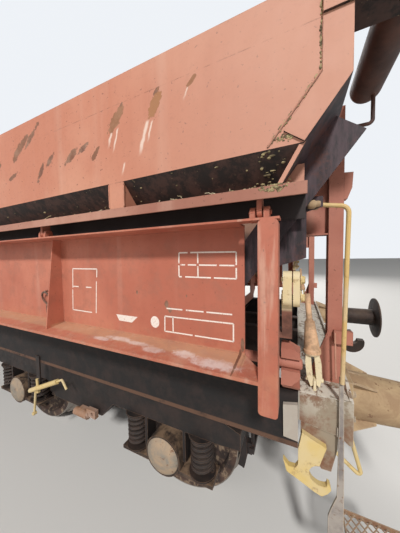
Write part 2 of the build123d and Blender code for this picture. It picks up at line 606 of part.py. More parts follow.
def door_shafts():
    """Operating shaft along each side under the doors, with its end bearings and lock levers."""
    x0, x1 = HEADSTOCK_IN - 68, HEADSTOCK_IN + 6
    for side in SIDES:
        reach = x1 + 9
        shaft = rod((-reach, side * SHAFT_Y, SHAFT_Z), (reach, side * SHAFT_Y, SHAFT_Z), SHAFT_R)
        add("door_shafts", fillet(shaft.edges().filter_by(GeomType.CIRCLE), 10))
    front = SHAFT_Y + 30
    bracket = prism_x([(SOLE_Y - 70, FRAME_TOP_Z), (SOLE_Y - 12, FRAME_TOP_Z), (front, SHAFT_Z - 88), (front, SHAFT_Z + 70),
                       (SHAFT_Y - 20, SHAFT_Z + 88), (SHAFT_Y - 45, SHAFT_Z + 60), (SOLE_Y - 70, FRAME_TOP_Z + 110)], x0, x1)
    bracket -= rod((x0 - 10, SHAFT_Y, SHAFT_Z), (x1 + 10, SHAFT_Y, SHAFT_Z), SHAFT_R)
    bracket -= block((x0 - 1, x1 + 1), (SHAFT_Y, front + 1), (SHAFT_Z - SHAFT_R, SHAFT_Z + SHAFT_R + 5))
    bracket -= prism_y([(x1 - 46, SHAFT_Z + 90), (x1 + 1, SHAFT_Z + 55), (x1 + 1, SHAFT_Z + 90)], SOLE_Y, front + 1)
    bracket -= prism_y([(x1 - 52, SHAFT_Z - 108), (x1 + 1, SHAFT_Z - 50), (x1 + 1, SHAFT_Z - 108)], SOLE_Y + 20, front + 1)
    at_corners("shaft_brackets", bracket)
    hub_x = x0 - 42
    reach = SHELF_TOP_Z - SHAFT_Z
    elbow = SHAFT_Z + (reach - 192) / 4
    boss_top = SHAFT_Z + reach / 2 + 51
    lever = rod((hub_x, SHAFT_Y, SHAFT_Z), (hub_x + 34, SHAFT_Y, SHAFT_Z), 42)
    lever += block((hub_x + 6, hub_x + 28), (SHAFT_Y - 24, SHAFT_Y + 24), (SHAFT_Z, elbow + 12))
    lever += block((hub_x + 6, x0 + 42), (SHAFT_Y - 12, SHAFT_Y + 30), (elbow - 12, elbow + 12))
    lever += prism_x([(SHAFT_Y + 2, elbow - 12), (SHAFT_Y + 30, elbow - 12), (SHAFT_Y + 76, boss_top - 79),
                      (SHAFT_Y + 46, boss_top - 79)], x0 + 4, x0 + 42)
    for wide in ((x0 + 9, x0 + 42), (x0 + 46, x0 + 70)):
        cheek = block(wide, (SHAFT_Y + 32, SHAFT_Y + 92), (boss_top - 140, boss_top))
        lever += fillet(cheek.edges().filter_by(Axis.X), 27)
    for z in (boss_top - 104, boss_top - 34):
        lever += rod((x0 + 2, SHAFT_Y + 62, z), (x0 + 78, SHAFT_Y + 62, z), 10)
    lever -= rod((x0 - 60, SHAFT_Y, SHAFT_Z), (x0, SHAFT_Y, SHAFT_Z), SHAFT_R)
    at_corners("lock_levers", lever)


def hand_levers():
    """Jack-like hand lever that leans in a fork on each corner of the headstock."""
    x, y, z = HEADSTOCK_X - 148, 1060, FRAME_TOP_Z
    pin_z = z + 40
    lug = block((x - 6, x + 6), (y - 30, y + 30), (z, z + 50))
    cheek = [(7, 20), (20, 12), (33, 60), (35, 130), (28, 175), (7, 175)]
    fork = prism_y([(x + dx, z + dz) for dx, dz in cheek], y - 20, y + 20)
    fork += prism_y([(x - dx, z + dz) for dx, dz in cheek], y - 20, y + 20)
    sleeve = revolve(Plane.XZ * Polygon((0, 0), (34, 0), (39, 8), (39, 24), (35, 30), (22, 160), (0, 160), align=None),
                     Axis.Z)
    fork += Pos(x, y, z + 165) * sleeve
    fork += rod((x, y, z + 320), (x, y, z + 460), 13) + rod((x, y, z + 322), (x, y, z + 334), 17)
    fork = Pos(x, y, pin_z) * Rot(0, -4.8, 0) * Pos(-x, -y, -pin_z) * fork
    pin = rod((x - 38, y, pin_z), (x + 38, y, pin_z), 10)
    at_corners("hand_levers", fork + lug + pin)


def changeover_handles():
    """Handle of the brake's load changeover on the sole bar, on one side of each end."""
    y = SOLE_Y + 35
    root = PIVOT_X - 475
    handle = rod((root, y, 640), (root + 405, y, 820), 20)
    handle += rod((root + 120, y, 690), (root + 112, y, 775), 11)
    handle += pipe([(root + 395, y, 816), (root + 468, y, 850), (root + 520, y, 782)], 9, 14)
    handle += rod((root + 82, y, 665), (root + 44, y, 438), 9) + rod((root + 44, y - 14, 440), (root + 44, y + 14, 440), 15)
    handle += block((root + 60, root + 110), (SOLE_Y, SOLE_Y + 12), (620, FRAME_TOP_Z - SOLE_H + 60))
    handle += block((root + 60, root + 110), (SOLE_Y, y), (640, 690))
    for end in ENDS:
        add("changeover_handles", in_x(in_y(handle, -end), end))


def air_gear():
    """Air reservoirs, brake cylinder and brake pipe under the middle of the frame."""
    low = FRAME_TOP_Z - SOLE_H
    tanks = (
        # node, from x, to x, y, radius, straps at x
        ("air_reservoirs", 700, 2000, 560, 150, (900, 1800)),
        ("air_reservoirs", 780, 1920, -560, 130, (900, 1800)),
        ("brake_cylinder", -1110, -690, -520, 145, (-900,)),
    )
    for name, x0, x1, y, radius, straps in tanks:
        z = low - radius - 30
        shell = rod((x0, y, z), (x1, y, z), radius)
        shell = fillet(shell.edges().filter_by(GeomType.CIRCLE), 35)
        for x in straps:
            shell += rod((x - 20, y, z), (x + 20, y, z), radius + 6) + block((x - 20, x + 20), (y - 30, y + 30), (z, low))
        add(name, shell)
    x = HEADSTOCK_X + 30
    end_run = [(HEADSTOCK_X - 60, -330, 889), (x + 10, -330, 880)]
    pipe_run = [(-px, -y, z) for px, y, z in end_run[::-1]] + [(-250, 330, 889), (250, -330, 889)] + end_run
    line = pipe(pipe_run, 15, 30)
    for end in ENDS:
        y = -end * 330
        line += rod((end * x, y, 880), (end * (x + 60), y, 880), 28)
        line += rod((end * (x + 45), y, 880), (end * (x + 80), y, 820), 24)
        for at in CROSS_X[1:] + (PIVOT_X,):
            line += block((end * at - 15, end * at + 15), (y - 20, y + 20), (889, low))
    add("brake_pipe", line)


# Bogies, drawn about their pivot at x = 0

def axle_boxes():
    parts = []
    for ax in (-WHEELBASE / 2, WHEELBASE / 2):
        for side in SIDES:
            body = rod((ax, FRAME_Y - 75, AXLE_Z), (ax, BOX_FRONT, AXLE_Z), BOX_R)
            body += block((ax - BOX_R, ax + BOX_R), (FRAME_Y - 70, FRAME_Y + 70), (AXLE_Z - 80, AXLE_Z))
            body += block((ax - SPRING_X - 95, ax + SPRING_X + 95), (FRAME_Y - 70, FRAME_Y + 70),
                          (AXLE_Z - 85, AXLE_Z - 60))
            body -= rod((ax, FRAME_Y - 80, AXLE_Z), (ax, JOURNAL_END + 5, AXLE_Z), JOURNAL_R + 1)
            parts.append(in_y(body, side))
    return parts


def springs():
    parts = []
    for ax in (-WHEELBASE / 2, WHEELBASE / 2):
        for dx in (-SPRING_X, SPRING_X):
            for y in (-FRAME_Y, FRAME_Y):
                parts.append(rod((ax + dx, y, AXLE_Z - 60), (ax + dx, y, FRAME_LOW), SPRING_R - 30))
    return parts


def bogie_frame():
    ax = WHEELBASE / 2
    horn = BOX_R + HORN_GAP
    half = [(0, FRAME_TOP), (FRAME_HALF - 150, FRAME_TOP), (FRAME_HALF, 800), (FRAME_HALF, 700), (1290, FRAME_LOW),
            (ax + horn + 22, FRAME_LOW), (ax + horn + 22, 480), (ax + horn, 480), (ax + horn, FRAME_LOW),
            (ax - horn, FRAME_LOW), (ax - horn, 480), (ax - horn - 22, 480), (ax - horn - 22, FRAME_LOW),
            (420, FRAME_LOW), (300, FRAME_BELLY)]
    side_frame = prism_y(half + mirrored(half)[:-1], FRAME_Y - FRAME_T / 2, FRAME_Y + FRAME_T / 2)
    inner = FRAME_Y - FRAME_T / 2
    frame = block((-BOLSTER_HALF, BOLSTER_HALF), (-inner, inner), (620, BOLSTER_TOP))
    for side in SIDES:
        frame += in_y(side_frame, side)
        frame += block((-60, 60), (side * 660, side * 740), (BOLSTER_TOP, 880))
        x = side * (FRAME_HALF - 70)
        frame += block((x, side * FRAME_HALF), (-inner, inner), (700, 790))
    bowl_top = FRAME_TOP_Z - SOLE_H - 20 - SEAT_GAP
    frame += rod((0, 0, BOLSTER_TOP), (0, 0, bowl_top), BOWL_R)
    frame -= rod((0, 0, 600), (0, 0, bowl_top + 5), PIN_R + PIN_GAP)
    return [frame]


def brake_gear():
    parts = []
    r0 = TREAD_R + SHOE_GAP
    wedge = Polygon((0, 0), (900, 260), (900, -260), align=None)
    ring = (Circle(r0 + SHOE_T) - Circle(r0)) & wedge
    for ax in (-WHEELBASE / 2, WHEELBASE / 2):
        for way in (-1, 1):
            outward = way * ax > 0
            x = ax + way * (r0 + SHOE_T + 33)
            beam = block((x - 16, x + 16), (-802, 802), (AXLE_Z - 18, AXLE_Z + 18))
            for y in (-762, 762):
                plane = Plane(origin=(ax, y + SHOE_W / 2, AXLE_Z), x_dir=(way, 0, 0), z_dir=(0, 1, 0))
                beam += extrude(plane * ring, amount=-SHOE_W)
                beam += block((x - way * 40, x), (y - 25, y + 25), (AXLE_Z - 40, AXLE_Z + 40))
                hang = FRAME_HALF if outward else BOLSTER_HALF
                sign = 1 if ax > 0 else -1
                near = sign * hang
                beam += block((x - 10, x + 10), (y - 10, y + 10), (AXLE_Z, 740))
                beam += block((near, x), (y - 10, y + 10), (720, 740))
            parts.append(beam)
    front = FRAME_Y + FRAME_T / 2
    link = rod((35, front + 38, 556), (190, front + 38, 556), 30)
    link += block((188, 285), (front + 22, front + 54), (562, 625)) - rod((250, front, 594), (250, front + 80, 594), 14)
    link += rod((176, front + 38, 560), (205, front + 38, 575), 24)
    link += block((70, 150), (front, front + 40), (562, 590))
    for way in ENDS:
        parts.append(in_x(in_y(link, -way), way))
    return parts


def wheelset():
    """Axle and its two wheels about x = 0: profiles of (radius, y) turned about the axle's line."""
    def turned(line):
        return Pos(0, 0, AXLE_Z) * revolve(line, Axis.Y)

    axle_half = [(SEAT_R, WHEEL_BACK - 20), (SEAT_R, WHEEL_BACK + HUB_W - 10), (AXLE_R - 6, WHEEL_BACK + HUB_W),
                 (AXLE_R - 6, FRAME_Y - 85), (JOURNAL_R, FRAME_Y - 80), (JOURNAL_R, JOURNAL_END)]
    half = [(AXLE_R, WHEEL_BACK - 40)] + axle_half
    outline = [(0, -JOURNAL_END)] + [(r, -y) for r, y in half[::-1]] + half + [(0, JOURNAL_END)]
    axle = turned(Polygon(*outline, align=None))
    back, front = WHEEL_BACK, WHEEL_BACK + WHEEL_W
    hub_in = WHEEL_BACK - 12
    hub_out = hub_in + HUB_W
    web_in, web_out = back + 42, back + 42 + WEB_T
    wheel = turned(Polygon((SEAT_R, hub_in), (HUB_R, hub_in), (HUB_R + 30, web_in), (RIM_IN_R - 12, web_in + 14),
                           (RIM_IN_R, back), (FLANGE_R - 14, back), (FLANGE_R, back + 12),
                           (FLANGE_R, back + 22), (TREAD_R + 6, back + FLANGE_T), (TREAD_R, back + FLANGE_T + 10),
                           (TREAD_R - TREAD_TAPER, front), (RIM_IN_R, front), (RIM_IN_R - 12, web_out + 14),
                           (HUB_R + 30, web_out), (HUB_R, hub_out), (SEAT_R, hub_out), align=None))
    return axle, wheel


def bogies():
    frame, boxes, coils, brakes = bogie_frame(), axle_boxes(), springs(), brake_gear()
    axle, wheel = wheelset()
    for end, letter in ((1, "a"), (-1, "b")):
        place = Pos(end * PIVOT_X)
        for name, solids in (("bogie_frame", frame), ("axle_boxes", boxes), ("springs", coils), ("brake_gear", brakes)):
            add(f"{name}_{letter}", *[place * solid for solid in solids])
        for number, way in ((1, end), (2, -end)):
            spot = Pos(end * PIVOT_X + way * WHEELBASE / 2)
            add(f"axle_{letter}{number}", spot * axle)
            add(f"wheels_{letter}{number}", spot * wheel, spot * in_y(wheel, -1))


for step in (side_walls, wall_straps, end_walls, saddle_floor, top_rim, end_tubes, shelf_beams, hinge_ears,
             doors, middle_posts, cross_frames, longitudinals, cross_members, headstocks, end_posts, buffers,
             draw_gear, handrails, shunter_rails, rope_hooks, door_shafts, hand_levers, changeover_handles,
             air_gear, bogies):
    step()

os.makedirs("parts", exist_ok=True)
for name, solids in nodes.items():
    export_step(Compound(children=solids), f"parts/{name}.step")
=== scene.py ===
"""Finishes and small fittings of a self-discharging hopper wagon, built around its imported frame."""

import math
import random

import bmesh
import bpy
from bpy.props import FloatProperty, FloatVectorProperty, IntProperty, PointerProperty
from bpy.types import Operator, Panel, PropertyGroup
from mathutils import Matrix, Vector, noise


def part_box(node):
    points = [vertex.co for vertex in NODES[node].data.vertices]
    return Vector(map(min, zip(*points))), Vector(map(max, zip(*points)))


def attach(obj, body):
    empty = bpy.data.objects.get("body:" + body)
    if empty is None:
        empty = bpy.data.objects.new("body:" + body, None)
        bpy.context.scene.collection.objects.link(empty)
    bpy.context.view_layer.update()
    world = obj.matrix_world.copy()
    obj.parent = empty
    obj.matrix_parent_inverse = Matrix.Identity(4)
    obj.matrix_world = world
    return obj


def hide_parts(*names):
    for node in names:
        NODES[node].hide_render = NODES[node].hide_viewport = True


bl_info = {
    "name": "Self-discharging hopper wagon",
    "version": (1, 0, 0),
    "blender": (4, 5, 0),
    "location": "3D View > Sidebar > Wagon",
    "description": "Finishes and small fittings of a self-discharging hopper wagon",
    "category": "Object",
}

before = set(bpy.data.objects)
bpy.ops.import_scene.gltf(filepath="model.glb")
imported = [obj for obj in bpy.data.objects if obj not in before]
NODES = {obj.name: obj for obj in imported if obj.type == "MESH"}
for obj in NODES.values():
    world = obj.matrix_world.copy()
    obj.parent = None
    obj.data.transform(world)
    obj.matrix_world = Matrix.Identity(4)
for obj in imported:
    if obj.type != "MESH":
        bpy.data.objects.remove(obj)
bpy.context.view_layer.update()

# Places shared with the CAD source, in metres
PIVOT_X = 3.7
HALF_WHEELBASE = 0.9
AXLE_Z = 0.488
JOURNAL_Y = 1.0
SPRING_X = 0.265
SPRING_FOOT_Z = 0.428
SPRING_TOP_Z = 0.69
HEADSTOCK_X = 5.65
SIDE_Y = 1.45
DOOR_Y = 1.3
DOOR_MID_X = 2.73
DOOR_END = 2.486
RIB_AT = (-1.24, 0.0, 1.24)
LEDGE_Z = 1.4
LEDGE_EDGE_Z = 1.38
SHELF_Z = 2.066
WALL_FOOT_Z = 2.185
SLOPE_FOOT_Y = 1.335
POST_Y = 1.004
RAIL_TOP_Z = 2.04
STEP_Z = 0.43
BUFFER_Y = 0.875
BUFFER_Z = 1.088
TREAD_FROM_R = 0.447

# Thickness of a spring's seats, and where the grab rails begin
SEAT = 0.012
RAIL_ROOT_X = 5.49

SIDES = (-1, 1)
ENDS = (("a", 1), ("b", -1))


def srgb(red, green, blue):
    """Linear colour of a screen colour given as 0 to 255."""
    def channel(value):
        value /= 255
        return value / 12.92 if value <= 0.04045 else ((value + 0.055) / 1.055) ** 2.4
    return (channel(red), channel(green), channel(blue), 1.0)


# Sizes and colours that a user may change

class WagonPaint(PropertyGroup):
    """Colours of the wagon's finishes."""
    door_red: FloatVectorProperty(
        name="Door red", description="Oxide red of the doors and the end posts", subtype="COLOR", size=4,
        min=0, max=1, default=srgb(170, 96, 74))
    wall_red: FloatVectorProperty(
        name="Wall red", description="Sun-bleached red of the upper side walls", subtype="COLOR", size=4,
        min=0, max=1, default=srgb(184, 118, 92))
    rust: FloatVectorProperty(
        name="Rust", description="Colour of rust where the paint has gone", subtype="COLOR", size=4,
        min=0, max=1, default=srgb(112, 70, 50))
    # Dirt and painted shade: this near-black stands for the shade under the wagon as well as its dirt.
    grime_and_shade: FloatVectorProperty(
        name="Grime", description="Dark dirt on the sheltered underframe", subtype="COLOR", size=4,
        min=0, max=1, default=srgb(30, 21, 18))
    dust: FloatVectorProperty(
        name="Dust", description="Stone dust on castings and ledges", subtype="COLOR", size=4,
        min=0, max=1, default=srgb(166, 142, 116))
    yellow: FloatVectorProperty(
        name="Yellow", description="Faded yellow of rails, hooks and levers", subtype="COLOR", size=4,
        min=0, max=1, default=srgb(208, 180, 112))
    marking: FloatVectorProperty(
        name="Marking white", description="Stencilled frames on the doors", subtype="COLOR", size=4,
        min=0, max=1, default=srgb(228, 216, 204))
    wear: FloatProperty(
        name="Wear", description="Share of the paint that has flaked off", subtype="FACTOR",
        min=0, max=1, default=0.5)


class WagonSizes(PropertyGroup):
    """Sizes of the small fittings."""
    coil_wire: FloatProperty(
        name="Spring wire", description="Radius of the outer spring's wire", unit="LENGTH",
        min=0.005, max=0.03, default=0.0135)
    coil_radius: FloatProperty(
        name="Spring radius", description="Radius of the outer spring to its wire's middle", unit="LENGTH",
        min=0.04, max=0.1, default=0.066)
    coil_turns: IntProperty(
        name="Spring turns", description="Turns of each outer spring", min=3, max=9, default=6)
    bolt_radius: FloatProperty(
        name="Bolt radius", description="Radius of a hexagonal bolt head across its corners", unit="LENGTH",
        min=0.005, max=0.03, default=0.015)
    weld_radius: FloatProperty(
        name="Weld radius", description="Radius of the weld beads", unit="LENGTH",
        min=0.001, max=0.01, default=0.0035)
    line_width: FloatProperty(
        name="Marking line", description="Width of a stencilled line", unit="LENGTH",
        min=0.002, max=0.02, default=0.0066)


class WagonStage(PropertyGroup):
    """Floor and light of the studio."""
    floor_colour: FloatVectorProperty(
        name="Floor", description="Colour of the studio floor", subtype="COLOR", size=4,
        min=0, max=1, default=srgb(214, 211, 206))
    key_power: FloatProperty(
        name="Key light", description="Power of the main soft light in watts", min=0, max=40000, default=8400)
    sky_strength: FloatProperty(
        name="Sky", description="Strength of the even light from all round", min=0, max=2, default=0.22)


# Node materials

class Finish:
    """One material, with short ways to add and wire its nodes."""

    def __init__(self, name):
        self.material = bpy.data.materials.new(name)
        self.material.use_nodes = True
        self.tree = self.material.node_tree
        self.tree.nodes.clear()
        self.place = self.node("ShaderNodeTexCoord").outputs["Object"]
        self.x, self.y, self.z = self.parts(self.place)

    def node(self, kind, **settings):
        new = self.tree.nodes.new(kind)
        for key, value in settings.items():
            setattr(new, key, value)
        return new

    def join(self, value, socket):
        if isinstance(value, bpy.types.NodeSocket):
            self.tree.links.new(value, socket)
        else:
            socket.default_value = value

    def parts(self, vector):
        new = self.node("ShaderNodeSeparateXYZ")
        self.join(vector, new.inputs[0])
        return new.outputs

    def math(self, operation, first, second=0.0):
        new = self.node("ShaderNodeMath", operation=operation)
        self.join(first, new.inputs[0])
        self.join(second, new.inputs[1])
        return new.outputs[0]

    def plus(self, first, second):
        return self.math("ADD", first, second)

    def minus(self, first, second):
        return self.math("SUBTRACT", first, second)

    def times(self, first, second):
        return self.math("MULTIPLY", first, second)

    def larger(self, first, second):
        return self.math("MAXIMUM", first, second)

    def size(self, value):
        return self.math("ABSOLUTE", value)

    def oval(self, along, across):
        """Squared distance from the middle of an oval, 1 on its edge."""
        return self.plus(self.math("POWER", along, 2.0), self.math("POWER", across, 2.0))

    def facing_up(self):
        """Height of the face's normal, from -1 to 1."""
        return self.parts(self.node("ShaderNodeNewGeometry").outputs["Normal"])["Z"]

    def mix(self, factor, first, second, blend="MIX"):
        new = self.node("ShaderNodeMix", data_type="RGBA", blend_type=blend)
        self.join(factor, new.inputs["Factor"])
        self.join(first, new.inputs[6])
        self.join(second, new.inputs[7])
        return new.outputs[2]

    def stretched(self, scale, turn=(0, 0, 0), shift=(0, 0, 0)):
        new = self.node("ShaderNodeMapping")
        for socket, value in zip(new.inputs, (self.place, shift, turn, scale)):
            self.join(value, socket)
        return new.outputs[0]

    def noise(self, scale, detail=4.0, rough=0.55, distort=0.0, vector=None):
        new = self.node("ShaderNodeTexNoise")
        self.join(vector or self.place, new.inputs["Vector"])
        settings = {"Scale": scale, "Detail": detail, "Roughness": rough, "Distortion": distort}
        for name, value in settings.items():
            self.join(value, new.inputs[name])
        return new.outputs["Fac"]

    def wobble(self, reach, *noise):
        """Noise about zero, reach wide."""
        return self.times(self.minus(self.noise(*noise), 0.5), reach)

    def step(self, value, low, high):
        """0 below low and 1 above high, smooth between."""
        new = self.node("ShaderNodeMapRange", interpolation_type="SMOOTHSTEP")
        self.join(value, new.inputs["Value"])
        new.inputs["From Min"].default_value = low
        new.inputs["From Max"].default_value = high
        return new.outputs[0]

    def spots(self, low, high, *noise):
        """Noise sharpened to a mask between two levels."""
        return self.step(self.noise(*noise), low, high)

    def cover(self, tone, mask, share, colour):
        """A colour laid over another inside a mask, with a share of its strength."""
        return self.mix(self.times(mask, share), tone, colour)

    def edge_wear(self, radius):
        """1 on sharp edges, fading over the radius."""
        rounded = self.node("ShaderNodeBevel", samples=4)
        rounded.inputs["Radius"].default_value = radius
        flat = self.node("ShaderNodeNewGeometry")
        dot = self.node("ShaderNodeVectorMath", operation="DOT_PRODUCT")
        self.join(rounded.outputs[0], dot.inputs[0])
        self.join(flat.outputs["True Normal"], dot.inputs[1])
        return self.step(self.minus(1.0, dot.outputs["Value"]), 0.02, 0.2)

    def finish(self, colour, roughness, metallic=0.0, bump=None, bump_strength=0.3, bump_distance=0.002):
        shader = self.node("ShaderNodeBsdfPrincipled")
        self.join(colour, shader.inputs["Base Color"])
        self.join(roughness, shader.inputs["Roughness"])
        self.join(metallic, shader.inputs["Metallic"])
        if bump is not None:
            relief = self.node("ShaderNodeBump")
            relief.inputs["Strength"].default_value = bump_strength
            relief.inputs["Distance"].default_value = bump_distance
            self.join(bump, relief.inputs["Height"])
            self.join(relief.outputs[0], shader.inputs["Normal"])
        out = self.node("ShaderNodeOutputMaterial")
        self.join(shader.outputs[0], out.inputs["Surface"])
        return self.material


# Patches of lost paint on the upper walls: x, z, half length, half height, turn in degrees, share of tan rust
WALL_PATCHES = (
    (4.688, 2.518, 0.018, 0.008, 62, 0.0),
    (4.655, 2.470, 0.062, 0.024, 48, 0.55),
    (4.886, 2.520, 0.020, 0.010, 50, 0.1),
    (4.872, 2.466, 0.066, 0.022, 62, 1.0),
    (5.052, 2.508, 0.030, 0.009, 40, 0.6),
    (4.513, 2.343, 0.034, 0.014, 45, 0.2),
    (4.425, 2.392, 0.040, 0.016, 25, 0.0),
    (4.330, 2.372, 0.060, 0.020, 30, 0.1),
    (4.150, 2.390, 0.050, 0.016, 40, 0.0),
    (4.060, 2.340, 0.060, 0.018, 55, 0.0),
    (3.990, 2.570, 0.075, 0.018, 38, 0.1),
    (3.850, 2.520, 0.100, 0.026, 35, 0.2),
    (3.763, 2.364, 0.050, 0.014, 15, 0.1),
    (3.560, 2.440, 0.090, 0.026, 40, 0.1),
    (3.240, 2.500, 0.110, 0.030, 35, 0.3),
    (2.300, 2.430, 0.120, 0.030, 20, 0.1),
    (1.100, 2.520, 0.090, 0.030, 40, 0.8),
    (-0.900, 2.380, 0.130, 0.035, 25, 0.1),
    (-2.700, 2.500, 0.110, 0.030, 35, 0.5),
    (-4.300, 2.420, 0.120, 0.030, 40, 0.2),
)
# Pale runs below the patches: x, top z, bottom z, half width
WALL_RUNS = (
    (4.838, 2.412, 2.272, 0.013),
    (4.862, 2.405, 2.318, 0.007),
    (4.632, 2.432, 2.345, 0.009),
    (4.668, 2.425, 2.318, 0.007),
    (5.032, 2.488, 2.436, 0.005),
    (4.702, 2.262, 2.205, 0.008),
)
# Rust blotches on a door panel: x, z, half width, half height
DOOR_RUST = (
    (4.812, 1.590, 0.012, 0.018),
    (4.832, 1.562, 0.010, 0.014),
    (5.206, 1.440, 0.008, 0.030),
    (5.196, 1.400, 0.006, 0.020),
    (4.620, 1.640, 0.006, 0.010),
    (4.930, 1.640, 0.005, 0.008),
)
# Chalky patches on a door's ledge: x, depth, half length, half depth
LEDGE_CHALK = (
    (4.440, 1.392, 0.060, 0.016),
    (4.540, 1.362, 0.090, 0.018),
    (4.680, 1.372, 0.080, 0.016),
    (4.790, 1.396, 0.060, 0.022),
    (4.960, 1.380, 0.060, 0.026),
    (5.110, 1.405, 0.110, 0.032),
    (3.100, 1.390, 0.200, 0.024),
    (1.600, 1.380, 0.160, 0.026),
)
# Tint of the dark streaks down the sheets
STREAK_TINT = (0.80, 0.66, 0.58, 1)


def base_paint(new, colour, faded):
    """Weathered coat: cloudy fading, streaks down the sheet and fine specks."""
    clouds = new.spots(0.38, 0.66, 1.1, 4, 0.6)
    coat = new.mix(clouds, colour, faded)
    streaks = new.noise(1.0, 5, 0.6, vector=new.stretched((11, 11, 0.9)))
    coat = new.mix(new.times(new.step(streaks, 0.48, 0.7), 0.22), coat, STREAK_TINT, "MULTIPLY")
    pale = new.noise(1.0, 4, 0.5, vector=new.stretched((7, 7, 0.5), shift=(3, 1, 0)))
    coat = new.cover(coat, new.step(pale, 0.55, 0.75), 0.25, srgb(206, 172, 152))
    grain = new.noise(42, 8, 0.75)
    coat = new.cover(coat, new.step(grain, 0.5, 0.7), 0.16, srgb(104, 62, 48))
    specks = new.spots(0.70, 0.735, 70, 2, 0.5)
    return new.mix(new.times(specks, 0.6), coat, srgb(80, 48, 38))


def bare_metal(new, rust):
    """Colour of the steel under flaked paint."""
    tone = new.mix(new.spots(0.4, 0.62, 14, 6, 0.7), rust, srgb(138, 104, 84))
    return new.mix(new.spots(0.55, 0.7, 5, 3), tone, srgb(96, 66, 58))


def side_place(new):
    """(x, z) along a side, turned over on the far side, as its two sockets."""
    way = new.math("SIGN", new.y)
    return new.times(new.times(new.x, way), -1.0), new.z


def wall_patches(new):
    """1 inside the bare patches of the upper walls, with torn edges, and the share of their tan rust."""
    x, z = side_place(new)
    torn = new.wobble(5.2, 21, 7, 0.72, 0.7)
    total, tan = 0.0, 0.0
    for at_x, at_z, half_x, half_z, turn, share in WALL_PATCHES:
        c, s = math.cos(math.radians(turn)), math.sin(math.radians(turn))
        dx = new.minus(x, at_x)
        dz = new.minus(z, at_z)
        along = new.plus(new.times(dx, c / half_x), new.times(dz, s / half_x))
        across = new.minus(new.times(dz, c / half_z), new.times(dx, s / half_z))
        inside = new.step(new.plus(new.oval(along, across), torn), 1.15, 0.95)
        total = new.larger(total, inside)
        tan = new.larger(tan, new.times(inside, share))
    return total, tan


def wall_runs(new):
    """1 on the pale runs below the patches."""
    x, z = side_place(new)
    wander = new.wobble(0.02, 30, 3)
    total = 0.0
    for at_x, top, bottom, half in WALL_RUNS:
        lean = new.times(new.minus(z, top), 0.38)
        off = new.size(new.minus(new.plus(x, wander), new.plus(lean, at_x)))
        width = new.step(off, half, half * 0.3)
        height = new.times(new.step(z, bottom, bottom + 0.05), new.step(z, top + 0.01, top - 0.005))
        total = new.larger(total, new.times(width, height))
    return total


def blotches(new, across, places, torn, none, full):
    """1 inside the ovals of a table along a side, with torn edges."""
    x, _ = side_place(new)
    total = 0.0
    for at_x, at_across, half_x, half_across in places:
        first = new.math("DIVIDE", new.minus(x, at_x), half_x)
        second = new.math("DIVIDE", new.minus(across, at_across), half_across)
        total = new.larger(total, new.step(new.plus(new.oval(first, second), torn), none, full))
    return total


def ledge_chalk(new):
    """1 on the chalky patches of the doors' ledges."""
    total = blotches(new, new.size(new.y), LEDGE_CHALK, new.wobble(4.6, 34, 8, 0.78, 0.8), 1.6, 0.2)
    return new.times(total, new.step(new.z, LEDGE_Z + 0.006, LEDGE_Z + 0.001))


def door_rust(new):
    """1 inside the rust blotches of a door panel."""
    return blotches(new, new.z, DOOR_RUST, new.wobble(3.0, 55, 5, 0.7), 1.4, 0.8)


